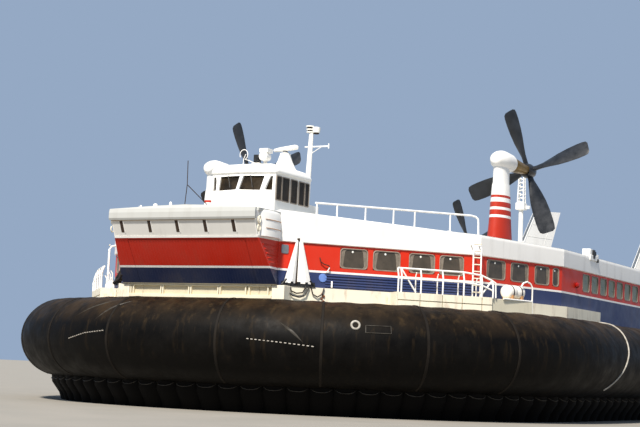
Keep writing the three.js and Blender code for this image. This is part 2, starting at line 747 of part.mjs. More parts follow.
// Propeller blade sections, root to tip
const BLADE_SECTIONS = [
  // radius, chord, thickness, pitch in degrees from the disc
  [0.25, 0.34, 0.24, 62],
  [0.8, 0.52, 0.2, 52],
  [1.6, 0.8, 0.12, 36],
  [2.5, 0.86, 0.08, 26],
  [PROP_RADIUS - 0.12, 0.78, 0.05, 21],
  [PROP_RADIUS, 0.6, 0.04, 20],
];
function blade() {
  const rings = BLADE_SECTIONS.map(([radius, chord, thickness, pitch]) => {
    const tilt = THREE.MathUtils.degToRad(pitch);
    const section = [[0.5, 0], [0.2, 0.5], [-0.2, 0.42], [-0.5, 0], [-0.2, -0.35], [0.2, -0.4]];
    return section.map(([c, t]) => {
      const across = c * chord;
      const through = t * thickness;
      return new THREE.Vector3(
        across * Math.sin(tilt) + through * Math.cos(tilt),
        across * Math.cos(tilt) - through * Math.sin(tilt),
        radius,
      );
    });
  });
  return loft(rings, false);
}

const BLADE_ANGLES = [0, 90, 180, 270];
const HUB_SECTIONS = [
  // forward of the disc, radius
  [HUB_FRONT, 0.27],
  [0.36, 0.36],
  [-0.28, 0.36],
  [-0.5, 0.24],
  [-0.6, 0.1],
];
function propeller(restTurn) {
  const hub = loft(HUB_SECTIONS.map(([x, radius]) => (
    ring(12, (angle) => new THREE.Vector3(x, radius * Math.cos(angle), radius * Math.sin(angle)))
  )), false);
  const blades = BLADE_ANGLES.map((angle) => blade().rotate([angle + restTurn, 0, 0]));
  return join([hub, ...blades]);
}

const PROPELLER_REST_TURN = 20;
for (const { name, x, y, hubZ } of PYLONS) {
  const unit = new THREE.Group();
  unit.position.set(x * MODEL_MM, y * MODEL_MM, 0);
  craft.add(unit);
  piece(`pylon_${name}`, pylon(hubZ), whitePaint, unit);
  const prop = piece(`propeller_${name}`, propeller(PROPELLER_REST_TURN), bladeBlack, unit);
  prop.position.set(-PROP_AFT * MODEL_MM, 0, hubZ * MODEL_MM);
}

// Swept stern fins on their posts
const FIN_OUTLINE = [
  // forward of the post, z
  [2.68, 8.55],
  [-0.3, 13.9],
  [-2.97, 14.05],
  [-0.94, 8.55],
];
const FIN_POST_RADIUS = 0.28;
function fin() {
  const plate = sidePrism(FIN_OUTLINE, -FIN_HALF_THICKNESS, FIN_HALF_THICKNESS);
  const foot = roofTop(FIN_Y - FIN_POST_RADIUS) + 2 * GAP;
  const post = bar([0, 0, foot], [0, 0, 8.8], FIN_POST_RADIUS, FIN_POST_RADIUS, 12);
  return plate.add(post).rotate([0, 0, FIN_REST_TURN]);
}
for (const side of sides) {
  const placed = piece(`fin_${side.name}`, fin(), whitePaint);
  placed.position.set(FIN_POST_X * MODEL_MM, FIN_Y * side.sign * MODEL_MM, 0);
}

// Control cabin. Its front leans aft above the sill of the windows.
const CABIN_LEVELS = [
  // z, the front's peak in X, the front corner, the start of the side
  [7.6, 22.8, [22.6, 1.15], [22.12, CABIN_HALF_WIDTH]],
  [9.3, 22.7, [22.49, 1.15], [22.17, CABIN_HALF_WIDTH]],
  [10, 22.34, [22.23, 1.25], [22.15, CABIN_HALF_WIDTH]],
  [10.42, 22.22, [22.1, 1.25], [22.05, CABIN_HALF_WIDTH]],
];
const FRONT_PANES = [
  // y and z of the corners, and the X that its cutter starts at
  { from: 21.9, outline: [[0.06, 9.35], [1.05, 9.33], [1.12, 9.98], [0.08, 10]] },
  { from: 22.03, outline: [[1.22, 9.36], [1.5, 9.36], [1.5, 9.97], [1.38, 9.97]] },
];
const SIDE_PANES = [
  // X from, to
  [21.69, 22.05],
  [21, 21.57],
  [20.28, 20.82],
  [19.65, 20.1],
  [19.3, 19.55],
];

// The cabin's plan at a height, drawn in by an amount all round, or out by a negative one
function cabinPlan(z, amount) {
  const last = CABIN_LEVELS.length - 1;
  const above = CABIN_LEVELS.findIndex((level, i) => i > 0 && (level[0] >= z || i === last));
  const [low, high] = [CABIN_LEVELS[above - 1], CABIN_LEVELS[above]];
  const part = Math.min(1, Math.max(0, (z - low[0]) / (high[0] - low[0])));
  const peak = low[1] + (high[1] - low[1]) * part;
  const [corner, sideStart] = [2, 3].map((k) => between(low[k], high[k], part));
  const half = [[peak, 0], corner, sideStart, [CABIN_AFT_X, CABIN_HALF_WIDTH]];
  const outline = [...half.slice(1).reverse().map(([x, y]) => [x, -y]), ...half];
  const middle = [(peak + CABIN_AFT_X) / 2, 0];
  const reach = [(peak - CABIN_AFT_X) / 2, CABIN_HALF_WIDTH];
  const drawnIn = (value, k) => middle[k] + (value - middle[k]) * (1 - amount / reach[k]);
  return outline.map((point) => point.map(drawnIn));
}

// The space inside the cabin's outline between two heights
function cabinSpace(lowZ, highZ, amount) {
  const bends = CABIN_LEVELS.map(([z]) => z).filter((z) => z > lowZ && z < highZ);
  const level = (z) => cabinPlan(z, amount).map(([x, y]) => new THREE.Vector3(x, y, z));
  return loft([lowZ, ...bends, highZ].map(level), false);
}

const cabinInside = (amount) => cabinSpace(CABIN_FLOOR_Z, CABIN_ROOF_Z + 1, amount);

function controlCabin() {
  const outer = cabinSpace(7.6, CABIN_ROOF_Z, 0);
  const inner = cabinInside(CABIN_WALL);
  const panes = [];
  for (const { sign } of sides) {
    for (const { from, outline } of FRONT_PANES) {
      panes.push(endPrism(outline.map(([y, z]) => [y * sign, z]), from, 23.2));
    }
    const across = [1.3 * sign, 1.9 * sign].sort((a, b) => a - b);
    panes.push(...SIDE_PANES.map((span) => box(span, across, CABIN_SIDE_WINDOW_Z)));
  }
  return outer.subtract(inner).subtract(underTop(-GAP)).subtract(join(panes));
}
piece('control_cabin', controlCabin(), whitePaint);

// A band of glass along the inside of the cabin's walls, behind the cut windows
const glassBand = cabinInside(CABIN_WALL + GAP).subtract(cabinInside(CABIN_WALL + 0.03));
piece('control_cabin_glass', glassBand.intersect(box([18, 24], [-2, 2], CABIN_GLASS_Z)), windowGlass);

// Cabin roof, a shallow rounded cap, with the radar's pedestal and the searchlight
const CAP_SECTIONS = [
  // above the walls, drawn in from them
  [GAP, -0.03],
  [0.06, -0.07],
  [0.2, -0.05],
  [0.33, 0.06],
  [0.42, 0.24],
  [0.5, 0.6],
];
const PEDESTAL = [19.55, 0.52];
const SCANNER_Z = 11.55;
const PEDESTAL_SECTIONS = [
  // z, radius
  [10.4, 0.5],
  [10.75, 0.44],
  [11.1, 0.28],
  [SCANNER_Z - 0.2, 0.2],
];
const SEARCHLIGHT = [21.4, 0.6, 11.08];
function cabinRoof() {
  const cap = loft(CAP_SECTIONS.map(([up, inset]) => (
    cabinPlan(CABIN_ROOF_Z, inset).map(([x, y]) => new THREE.Vector3(x, y, CABIN_ROOF_Z + up))
  )), false);
  const [pedestalX, pedestalY] = PEDESTAL;
  const pedestal = loft(PEDESTAL_SECTIONS.map(([z, radius]) => ring(12, (angle) => (
    new THREE.Vector3(pedestalX + radius * Math.cos(angle), pedestalY + radius * Math.sin(angle), z)
  ))), false);
  const [lampX, lampY, lampZ] = SEARCHLIGHT;
  const lampPost = bar([lampX, lampY, CABIN_ROOF_Z + 0.3], [lampX, lampY, lampZ], 0.07);
  const lamp = bar([lampX - 0.24, lampY, lampZ], [lampX + 0.24, lampY, lampZ], 0.2, 0.2, 12);
  return join([cap, pedestal, lampPost, lamp]);
}
piece('cabin_roof', cabinRoof(), whitePaint);

// Radar scanner: a bar that turns on the pedestal
const SCANNER_REST_TURN = -25;
const scannerBar = box([-0.11, 0.11], [-1.05, 1.05], [0, 0.28]);
const scannerSpindle = bar([0, 0, -0.2 + GAP], [0, 0, 0.05], 0.14, 0.14, 10);
const scannerShape = scannerBar.add(scannerSpindle).rotate([0, 0, SCANNER_REST_TURN]);
const scanner = piece('radar_scanner', scannerShape, whitePaint);
scanner.position.set(PEDESTAL[0] * MODEL_MM, PEDESTAL[1] * MODEL_MM, SCANNER_Z * MODEL_MM);

// Signal mast on a box behind the control cabin, leaning aft
const MAST_FOOT = [18.3, 1.0];
const MAST_LEAN = -0.2;
const MAST_TOP_Z = 12.5;
const YARD_Z = 11.8;
function signalMast() {
  const [x, y] = MAST_FOOT;
  const foot = roofTop(y - 0.28) + GAP;
  const topX = x + MAST_LEAN;
  return join([
    box([x - 0.65, x + 0.25], [y - 0.28, y + 0.28], [foot, 9.15]),
    bar([x, y, 9.1], [topX, y, MAST_TOP_Z], 0.14, 0.1, 8),
    bar([topX + 0.05, y - 0.23, YARD_Z], [topX + 0.05, y + 0.92, YARD_Z], 0.05),
    bar([topX, y, MAST_TOP_Z - 0.05], [topX, y, MAST_TOP_Z + 0.12], 0.2, 0.2, 12),
    bar([topX, y, MAST_TOP_Z + 0.1], [topX, y, MAST_TOP_Z + 0.3], 0.15, 0.15, 12),
  ]);
}
piece('signal_mast', signalMast(), whitePaint);

// Tall mast amidships: a tube up to a box, and a slim square mast above it
const TALL_MAST = [0.6, 4.5];
const TALL_MAST_BOX_Z = [10.95, 11.3];
const TALL_MAST_TOP_Z = 12.9;
function tallMast() {
  const [x, y] = TALL_MAST;
  const foot = roofTop(y - 0.3) + GAP;
  const [boxLow, boxHigh] = TALL_MAST_BOX_Z;
  return join([
    box([x - 0.3, x + 0.3], [y - 0.3, y + 0.3], [foot, foot + 0.1]),
    bar([x, y, foot + 0.05], [x, y, boxLow + 0.05], 0.13, 0.11, 8),
    box([x - 0.28, x + 0.28], [y - 0.24, y + 0.24], TALL_MAST_BOX_Z),
    bar([x, y, boxHigh - 0.05], [x, y, TALL_MAST_TOP_Z], 0.19, 0.15, 4),
  ]);
}
piece('tall_mast', tallMast(), whitePaint);

// Roof rails along the flare's edge
const ROOF_RAIL_TOP_Z = 8.6;
const ROOF_RAIL_RADIUS = 0.035;
const RAIL_PARTS = [0.05, 0.17, 0.34, 0.51, 0.64, 0.86, 1.04];
function roofRail(sign) {
  const start = new THREE.Vector2(23.75, 4.15);
  const end = new THREE.Vector2(18.25, 9.1);
  const at = (part) => start.clone().lerp(end, part);
  const posts = RAIL_PARTS.map((part) => {
    const { x, y } = at(part);
    const foot = roofTop(y - ROOF_RAIL_RADIUS) + GAP;
    return bar([x, y * sign, foot], [x, y * sign, ROOF_RAIL_TOP_Z], ROOF_RAIL_RADIUS);
  });
  const top = [0.04, 1.05].map((part) => [at(part).x, at(part).y * sign, ROOF_RAIL_TOP_Z]);
  return join([...posts, bar(top[0], top[1], ROOF_RAIL_RADIUS * 1.2)]);
}

// A point beside a wall, from the distance along it and the distance out from it
function besideWall(start, end, along, out) {
  const way = new THREE.Vector2(end[0] - start[0], end[1] - start[1]).normalize();
  return [start[0] + way.x * along + way.y * out, start[1] + way.y * along - way.x * out];
}
const besideFlare = (along, out) => besideWall([FRONT_FOOT_X, FRONT_HALF_WIDTH], FLARE_END, along, out);
const besideShoulder = (along, out) => besideWall(FLARE_END, SHOULDER_END, along, out);

// Coaming: the bulwark round the foot of the flare and the shoulder, ending in a rounded cap
const COAMING_AFT_X = 7.5;
const COAMING_DEPTH = 0.3;
function coaming(sign) {
  const outer = offsetPlan(-COAMING_DEPTH).slice(5, 7);
  const inner = offsetPlan(-GAP).slice(5, 7);
  const outline = [
    besideFlare(0.15, COAMING_DEPTH),
    besideFlare(0.15, GAP),
    ...inner,
    [COAMING_AFT_X + 0.1, inner[1][1]],
    [COAMING_AFT_X, inner[1][1] + 0.1],
    [COAMING_AFT_X + 0.05, outer[1][1] - 0.05],
    [COAMING_AFT_X + 0.3, outer[1][1]],
    outer[1],
    outer[0],
  ];
  return planPrism(mirrored(outline, sign), DECK_Z + GAP, COAMING_TOP_Z);
}

// Twin tapered posts on the coaming beside the bow front, leaning together at the top
const POST_TOP_Z = 7.0;
const POST_OUT = [0.08, 0.22];
const POST_BLADES = [
  // along the flare: foot from, foot to, top from, top to
  [0.33, 0.81, 0.76, 0.87],
  [0.91, 1.39, 0.85, 0.96],
];
function bowPosts(sign) {
  const [inner, outer] = POST_OUT;
  const plate = (from, to, z) => [[from, inner], [to, inner], [to, outer], [from, outer]].map(([along, out]) => {
    const [x, y] = besideFlare(along, out);
    return new THREE.Vector3(x, y * sign, z);
  });
  const foot = loft([plate(0.28, 1.44, COAMING_TOP_Z + GAP), plate(0.28, 1.44, COAMING_TOP_Z + 0.12)], false);
  const blades = POST_BLADES.map(([footFrom, footTo, topFrom, topTo]) => (
    loft([plate(footFrom, footTo, COAMING_TOP_Z + 0.1), plate(topFrom, topTo, POST_TOP_Z)], false)
  ));
  return join([foot, ...blades]);
}

// Side gangway: a platform on the deck edge with stanchions, rails, a wall ladder and a life-raft canister
const GANGWAY_TOP_Z = 6.08;
const GANGWAY_MIDDLE_Z = 5.58;
const GANGWAY_RAIL_RADIUS = 0.045;
const GANGWAY_START = 4.8;
const GANGWAY_OUT = 1.03;
const GANGWAY_RAIL_OUT = 0.93;
const GANGWAY_CORNER = [18.7, 10.37];
const GANGWAY_END = 2.5;
const GANGWAY_STANCHIONS = [
  // along the flare, height of the top
  [4.87, 6.08],
  [5.01, 6.08],
  [5.88, 6.08],
  [6.86, 6.08],
  [7.81, 6.08],
  [8.64, 6.0],
  [9.15, 5.8],
];
const LADDER_ALONG = [8.5, 8.82];
const LADDER_OUT = 0.36;
const LADDER_TOP_Z = 7.3;
const LADDER_RUNGS = 6;
const RAFT_Z = 5.44;
const RAFT_OUT = 0.6;
const RAFT_ALONG = [1.04, 2.14];
const RAFT_RADIUS = 0.31;
function sideGangway(sign) {
  const at = ([x, y], z) => [x, y * sign, z];
  const edge = COAMING_DEPTH + GAP;
  const outline = [
    besideFlare(GANGWAY_START, GANGWAY_OUT),
    besideFlare(GANGWAY_START, edge),
    offsetPlan(-edge)[5],
    besideShoulder(GANGWAY_END, edge),
    besideShoulder(GANGWAY_END, GANGWAY_OUT),
    GANGWAY_CORNER,
  ];
  const platform = planPrism(mirrored(outline, sign), DECK_Z + GAP, COAMING_TOP_Z);
  const foot = COAMING_TOP_Z - 0.05;
  const drop = GANGWAY_TOP_Z - GANGWAY_MIDDLE_Z;
  const stanchions = GANGWAY_STANCHIONS.map(([along, topZ]) => {
    const point = besideFlare(along, GANGWAY_RAIL_OUT);
    return { point, topZ };
  });
  const thickness = GANGWAY_RAIL_RADIUS;
  const posts = stanchions.map(({ point, topZ }) => bar(at(point, foot), at(point, topZ), thickness, thickness, 4));
  const bends = [stanchions[0], ...stanchions.slice(-3)];
  const rails = [0, drop].map((down) => (
    railing(bends.map(({ point, topZ }) => at(point, topZ - down)), thickness * 1.15)
  ));
  const brace = bar(at(stanchions[1].point, foot), at(stanchions[2].point, GANGWAY_TOP_Z), thickness * 0.9);
  const stiles = LADDER_ALONG.map((along) => {
    const point = besideFlare(along, LADDER_OUT);
    return bar(at(point, foot), at(point, LADDER_TOP_Z), 0.03, 0.03, 4);
  });
  const rungs = Array.from({ length: LADDER_RUNGS }, (_, i) => {
    const z = COAMING_TOP_Z + ((i + 0.8) * (LADDER_TOP_Z - COAMING_TOP_Z)) / LADDER_RUNGS;
    const [from, to] = LADDER_ALONG.map((along) => besideFlare(along, LADDER_OUT));
    return bar(at(from, z), at(to, z), 0.025, 0.025, 4);
  });
  const [raftFront, raftAft] = RAFT_ALONG.map((along) => besideShoulder(along, RAFT_OUT));
  const raft = bar(at(raftFront, RAFT_Z), at(raftAft, RAFT_Z), RAFT_RADIUS, RAFT_RADIUS, 12);
  const cradles = [0.25, 0.75].map((part) => {
    const point = between(raftFront, raftAft, part);
    return bar(at(point, foot), at(point, RAFT_Z), 0.08, 0.08, 4);
  });
  return join([platform, ...posts, ...rails, brace, ...stiles, ...rungs, raft, ...cradles]);
}

for (const side of sides) {
  piece(`roof_rail_${side.name}`, roofRail(side.sign), whitePaint);
  piece(`coaming_${side.name}`, coaming(side.sign), whitePaint);
  piece(`bow_posts_${side.name}`, bowPosts(side.sign), whitePaint);
  piece(`side_gangway_${side.name}`, sideGangway(side.sign), whitePaint);
}

// Engines: a plain block for each pair of gas turbines, at their place beside the car deck
const ENGINE_X = [-15.6, -10.8];
const ENGINE_Y = [5.6, 9.6];
const ENGINE_TOP_Z = 6.1;
for (const side of sides) {
  const across = ENGINE_Y.map((y) => y * side.sign).sort((a, b) => a - b);
  piece(`engine_block_${side.name}`, box(ENGINE_X, across, [DECK_Z + GAP, ENGINE_TOP_Z]), engineMetal);
}

export default craft;
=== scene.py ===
"""The car ferry hovercraft as it looks: paint, rubber, glass and the fittings too fine for its solids.

Every size is the real craft's, in metres, and SCALE turns it into the model's.
"""

import math

import bmesh
import bpy
import numpy as np
from mathutils import Matrix, Vector


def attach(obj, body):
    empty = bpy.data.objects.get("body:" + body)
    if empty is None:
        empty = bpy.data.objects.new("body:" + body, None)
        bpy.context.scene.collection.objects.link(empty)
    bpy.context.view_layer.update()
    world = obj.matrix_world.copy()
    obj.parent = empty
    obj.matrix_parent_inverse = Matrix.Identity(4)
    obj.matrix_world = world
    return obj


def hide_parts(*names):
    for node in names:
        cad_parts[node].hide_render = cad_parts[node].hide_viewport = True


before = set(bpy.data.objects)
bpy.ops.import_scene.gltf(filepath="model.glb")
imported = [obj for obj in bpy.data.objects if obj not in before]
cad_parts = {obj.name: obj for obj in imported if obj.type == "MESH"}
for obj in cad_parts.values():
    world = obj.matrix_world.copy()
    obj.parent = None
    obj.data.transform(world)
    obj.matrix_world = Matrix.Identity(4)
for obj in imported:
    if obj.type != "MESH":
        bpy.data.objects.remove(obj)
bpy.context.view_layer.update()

SCALE = 0.5
SIDES = {"port": 1, "starboard": -1}
AHEAD = (1, 0, 0)
UP = (0, 0, 1)

# Camera, at the place and angle of the photograph
CAMERA_PLACE = (77.465, 34.037, 1.736)
CAMERA_YAW = 0.49982
CAMERA_PITCH = 0.10413
CAMERA_ROLL = 0.04284
LENS_MM = 84.98
SENSOR_MM = 36


def aim_camera():
    ahead = Vector((-math.cos(CAMERA_YAW), -math.sin(CAMERA_YAW), 0))
    right = Vector((-math.sin(CAMERA_YAW), math.cos(CAMERA_YAW), 0))
    up = Vector((0, 0, 1))
    ahead, up = (ahead * math.cos(CAMERA_PITCH) + up * math.sin(CAMERA_PITCH),
                 up * math.cos(CAMERA_PITCH) - ahead * math.sin(CAMERA_PITCH))
    right, up = (right * math.cos(CAMERA_ROLL) + up * math.sin(CAMERA_ROLL),
                 up * math.cos(CAMERA_ROLL) - right * math.sin(CAMERA_ROLL))
    data = bpy.data.cameras.new("photo_camera")
    data.lens = LENS_MM
    data.sensor_width = SENSOR_MM
    data.clip_end = 2000
    camera = bpy.data.objects.new("photo_camera", data)
    turn = Matrix((right, up, -ahead)).transposed().to_4x4()
    camera.matrix_world = Matrix.Translation(Vector(CAMERA_PLACE) * SCALE) @ turn
    bpy.context.scene.collection.objects.link(camera)
    bpy.context.scene.camera = camera


aim_camera()

# Sizes of the skirt
BEAM = 28.04
LENGTH = 56.38
BAG_HALF_WIDTH = 1.81
BAG_HALF_HEIGHT = 1.74
BAG_MIDDLE_Z = 2.78
BAG_BOTTOM_Z = BAG_MIDDLE_Z - BAG_HALF_HEIGHT
BAG_PATH_Y = BEAM / 2 - BAG_HALF_WIDTH
BAG_PATH_BOW_X = LENGTH / 2 - BAG_HALF_WIDTH
BOW_CURVE_X = 13.81
BOW_CURVE_POWER = 2.09
STERN_CORNER_RADIUS = 2.0
HULL_INSET = 0.63
HULL_BOTTOM_Z = 2.5
FINGER_COUNT = 144
FINGER_INSET = 0.18
FINGER_GROOVE = 0.16
FINGER_LEAN = 0.5

# Sizes of the superstructure
FRONT_HALF_WIDTH = 3.47
FRONT_FOOT_X = 24.85
FLARE_END = (18.19, 9.45)
SHOULDER_END = (12.48, 11.11)
STERN_X = -25.2
DECK_Z = 4.42
COAMING_TOP_Z = 5.1
BLUE_TOP_Z = 5.71
RED_LOW_Z = 5.81
RED_TOP_Z = 6.89
ROOF_CROWN_Z = 8.25
ROOF_FALL = 0.05
FRONT_TOP_X = 26.49
FRONT_RAKE = 0.63
BOW_STEP_X = FRONT_TOP_X - FRONT_RAKE * (RED_TOP_Z - COAMING_TOP_Z) - 0.2
LIP_LOW_Z = 7.61
LIP_X = 26.81
RAMP_HALF_WIDTH = 2.85
RAMP_TOP_Z = 6.85
STERN_DOOR_TOP_Z = 7.7
WINDOW_Z = (5.98, 6.8)

# Propulsion units: place of the post, and height of the hub
PYLON_Y = 7.89
PROP_AFT = 3.5
PYLONS = {
    "bow_port": (12.1, PYLON_Y, 11.87),
    "bow_starboard": (12.1, -PYLON_Y, 11.87),
    "stern_port": (-18, PYLON_Y, 11.3),
    "stern_starboard": (-18, -PYLON_Y, 11.3),
}
PROP_REST_TURN = 20


def roof_top(y):
    return ROOF_CROWN_Z - ROOF_FALL * abs(y)


def circle(sides):
    """The angles of points spaced evenly round a circle."""
    return [2 * math.pi * k / sides for k in range(sides)]


def on_both_sides(*makers):
    """Let each maker build its pieces to port, then to starboard."""
    for side, sign in SIDES.items():
        for make in makers:
            make(side, sign)


# Materials

def linear(hex_colour):
    """An sRGB hex colour as linear red, green, blue and alpha."""
    parts = [int(hex_colour[i:i + 2], 16) / 255 for i in (1, 3, 5)]
    return tuple(c / 12.92 if c <= 0.04045 else ((c + 0.055) / 1.055) ** 2.4 for c in parts) + (1.0,)


def add_node(tree, kind, inputs=None, **settings):
    node = tree.nodes.new("ShaderNode" + kind)
    for name, value in settings.items():
        setattr(node, name, value)
    for name, value in (inputs or {}).items():
        if isinstance(value, bpy.types.NodeSocket):
            tree.links.new(value, node.inputs[name])
        else:
            node.inputs[name].default_value = value
    return node


def per_mm(size_mm):
    """The texture scale that gives a pattern of this real size."""
    return 1000 / (size_mm * SCALE)


# Sockets of the Mix node that carry colours: both inputs, and the output
MIX_A, MIX_B, MIX_OUT = 6, 7, 2


def new_material(name, roughness, metallic=0.0, ior=1.5):
    material = bpy.data.materials.new(name)
    material.use_nodes = True
    tree = material.node_tree
    tree.nodes.clear()
    shader = add_node(tree, "BsdfPrincipled", {"Roughness": roughness, "Metallic": metallic, "IOR": ior})
    add_node(tree, "OutputMaterial", {"Surface": shader.outputs[0]})
    place = add_node(tree, "TexCoord").outputs["Object"]
    return material, tree, shader, place


def stretched_noise(tree, place, size_mm, stretch=(1, 1, 1), detail=4, roughness=0.6):
    mapping = add_node(tree, "Mapping", {"Vector": place, "Scale": stretch})
    noise = add_node(tree, "TexNoise", {
        "Vector": mapping.outputs[0], "Scale": per_mm(size_mm), "Detail": detail, "Roughness": roughness})
    return noise.outputs["Fac"]


def remap(tree, value, low, high, to_low=0.0, to_high=1.0):
    node = add_node(tree, "MapRange", {
        "Value": value, "From Min": low, "From Max": high, "To Min": to_low, "To Max": to_high})
    return node.outputs[0]


def mix(tree, factor, first, second):
    return add_node(tree, "Mix", {0: factor, MIX_A: first, MIX_B: second}, data_type="RGBA").outputs[MIX_OUT]


def multiply(tree, first, second):
    return add_node(tree, "Math", {0: first, 1: second}, operation="MULTIPLY").outputs[0]


def height(tree, place):
    return add_node(tree, "SeparateXYZ", {"Vector": place}).outputs["Z"]


def colour_bands(tree, place, bands):
    """Bands of colour by height. Each band is the real height where it starts and its colour."""
    low, high = bands[0][0] * SCALE, bands[-1][0] * SCALE + 0.1
    ramp = add_node(tree, "ValToRGB", {"Fac": remap(tree, height(tree, place), low, high)})
    ramp.color_ramp.interpolation = "CONSTANT"
    elements = ramp.color_ramp.elements
    while len(elements) < len(bands):
        elements.new(0.5)
    for element, (start, colour) in zip(elements, bands):
        element.position = (start * SCALE - low) / (high - low)
        element.color = linear(colour)
    return ramp.outputs[0]


CREAM_WHITE = "#F1EFEA"
SIGNAL_RED = "#CE2A0E"
NAVY_BLUE = "#25345F"
# Darker copies of the navy and red for the front, its cheeks and their louvres: painted shade
SHADED_NAVY = "#182445"
SHADED_RED = "#C3230B"
PYLON_RED = "#AE2710"
GRIME = "#6B5B45"
RUST = "#8A4A1E"


def painted(name, bands, grime=0.35, rust=0.0, roughness=0.42, ior=1.34):
    """Marine gloss enamel on sheet aluminium: clean colour, dulled by salt and by streaks that run down."""
    material, tree, shader, place = new_material(name, roughness, ior=ior)
    colour = linear(bands) if isinstance(bands, str) else colour_bands(tree, place, bands)
    streaks = stretched_noise(tree, place, 420, (1, 1, 0.12))
    patches = stretched_noise(tree, place, 2600)
    dirt = multiply(tree, remap(tree, streaks, 0.5, 0.78), remap(tree, patches, 0.4, 0.75))
    dull = mix(tree, remap(tree, patches, 0.3, 0.7, 0.0, 0.05), colour, linear("#B9B2A2"))
    dirty = mix(tree, multiply(tree, dirt, grime), dull, linear(GRIME))
    if rust:
        spots = remap(tree, stretched_noise(tree, place, 300, (1, 1, 0.35), 6), 0.56, 0.70, 0.0, rust)
        dirty = mix(tree, spots, dirty, linear(RUST))
    gloss = remap(tree, stretched_noise(tree, place, 700), 0.3, 0.7, roughness - 0.08, roughness + 0.12)
    tree.links.new(dirty, shader.inputs["Base Color"])
    tree.links.new(gloss, shader.inputs["Roughness"])
    ripple = stretched_noise(tree, place, 900, (1, 1, 1), 2)
    bump = add_node(tree, "Bump", {"Height": ripple, "Strength": 0.12, "Distance": 0.01})
    tree.links.new(bump.outputs[0], shader.inputs["Normal"])
    return material


def bag_rubber():
    """Neoprene-proofed nylon: near black with a dull sheen, dusted and streaked with brown on its crown."""
    material, tree, shader, place = new_material("neoprene_bag", 0.55, ior=1.18)
    z = height(tree, place)
    cloud = stretched_noise(tree, place, 2600, (1, 1, 0.6), 6)
    blotch = stretched_noise(tree, place, 700, (1, 1, 1), 5)
    streak = stretched_noise(tree, place, 260, (1, 1, 0.08), 5)
    crown = remap(tree, z, 3.3 * SCALE, 4.3 * SCALE)
    cover = remap(tree, cloud, 0.34, 0.62, 0.25, 1.0)
    runs = remap(tree, stretched_noise(tree, place, 800, (1, 1, 0.1), 5), 0.36, 0.62, 0.2, 1.0)
    dust = multiply(tree, multiply(tree, crown, cover), runs)
    base = mix(tree, remap(tree, blotch, 0.35, 0.7), linear("#060504"), linear("#0E0C0A"))
    dusty = mix(tree, dust, base, linear("#3D2F1E"))
    fading = remap(tree, z, 2.0 * SCALE, 4.0 * SCALE, 0.1, 0.8)
    low_runs = multiply(tree, remap(tree, streak, 0.55, 0.8), fading)
    stained = mix(tree, low_runs, dusty, linear("#41331F"))
    tree.links.new(stained, shader.inputs["Base Color"])
    tree.links.new(remap(tree, blotch, 0.3, 0.7, 0.42, 0.68), shader.inputs["Roughness"])
    wrinkle = stretched_noise(tree, place, 420, (1, 1, 0.5), 4)
    bump = add_node(tree, "Bump", {"Height": wrinkle, "Strength": 0.3, "Distance": 0.02})
    tree.links.new(bump.outputs[0], shader.inputs["Normal"])
    return material


def mottled(name, first, second, size_mm, roughness, metallic=0.0, strength=0.1, ior=1.5):
    """A plain finish with the slight cloudiness of use: two close colours and a fine bump."""
    material, tree, shader, place = new_material(name, roughness, metallic, ior)
    cloud = stretched_noise(tree, place, size_mm)
    colour = mix(tree, remap(tree, cloud, 0.35, 0.65), linear(first), linear(second))
    tree.links.new(colour, shader.inputs["Base Color"])
    gloss = remap(tree, cloud, 0.3, 0.7, roughness - 0.07, roughness + 0.1)
    tree.links.new(gloss, shader.inputs["Roughness"])
    fine = stretched_noise(tree, place, size_mm / 8)
    bump = add_node(tree, "Bump", {"Height": fine, "Strength": strength, "Distance": 0.004})
    tree.links.new(bump.outputs[0], shader.inputs["Normal"])
    return material


def window_glass():
    """Smoked acrylic pane: dark, with a sky sheen and faint smears."""
    material, tree, shader, place = new_material("smoked_acrylic", 0.08, ior=1.49)
    smear = stretched_noise(tree, place, 500)
    tint = mix(tree, remap(tree, smear, 0.4, 0.7), linear("#4A463F"), linear("#675F55"))
    tree.links.new(tint, shader.inputs["Base Color"])
    tree.links.new(remap(tree, smear, 0.4, 0.7, 0.05, 0.14), shader.inputs["Roughness"])
    shader.inputs["Transmission Weight"].default_value = 0.3
    return material


# Darker cream at the front's foot: the cream's own dirt together with painted shade from the overhang above
SHADED_FOOT_CREAM = "#CFC4A8"
SIDE_BANDS = [(0, NAVY_BLUE), (BLUE_TOP_Z, CREAM_WHITE), (RED_LOW_Z, SIGNAL_RED), (RED_TOP_Z, CREAM_WHITE)]
FRONT_BANDS = [(0, SHADED_FOOT_CREAM), (COAMING_TOP_Z, SHADED_NAVY), (BLUE_TOP_Z, CREAM_WHITE),
               (RED_LOW_Z, SHADED_RED), (RED_TOP_Z, CREAM_WHITE)]
# Pylon bands from the foot up: near black, then a brown line, painted shade of the fan intake's rim; then
# red and cream
PYLON_BANDS = [(0, "#1B1713"), (8.12, "#5A3A2A"), (8.18, PYLON_RED), (9.13, CREAM_WHITE), (9.25, PYLON_RED),
               (9.49, CREAM_WHITE), (9.63, PYLON_RED), (9.86, CREAM_WHITE), (10.07, PYLON_RED),
               (10.17, CREAM_WHITE)]

# Marine enamel: the glossy navy, red and cream bands that the eye reads first, dulled by salt
enamel_bands = painted("side_enamel", SIDE_BANDS)
# The front's bands take the darker navy and red, and a darker cream at the foot, as painted shade
enamel_front_shaded = painted("front_enamel_painted_shade", FRONT_BANDS)
enamel_white = painted("white_enamel", CREAM_WHITE)
enamel_pylon = painted("pylon_enamel", PYLON_BANDS, grime=0.6)
# Cheek louvres in the darker red: painted shade
enamel_shade = painted("louvre_enamel_painted_shade", SHADED_RED)
# Cleaner white on the parts that stand high, and greyer white on the roof's panels
enamel_cabin = painted("cabin_enamel", "#F4F2EC", grime=0.15)
enamel_panel = painted("panel_enamel", "#DAD8D2", grime=0.25)
roof_paint = painted("roof_enamel", "#B4B5B1", grime=0.5, roughness=0.65)
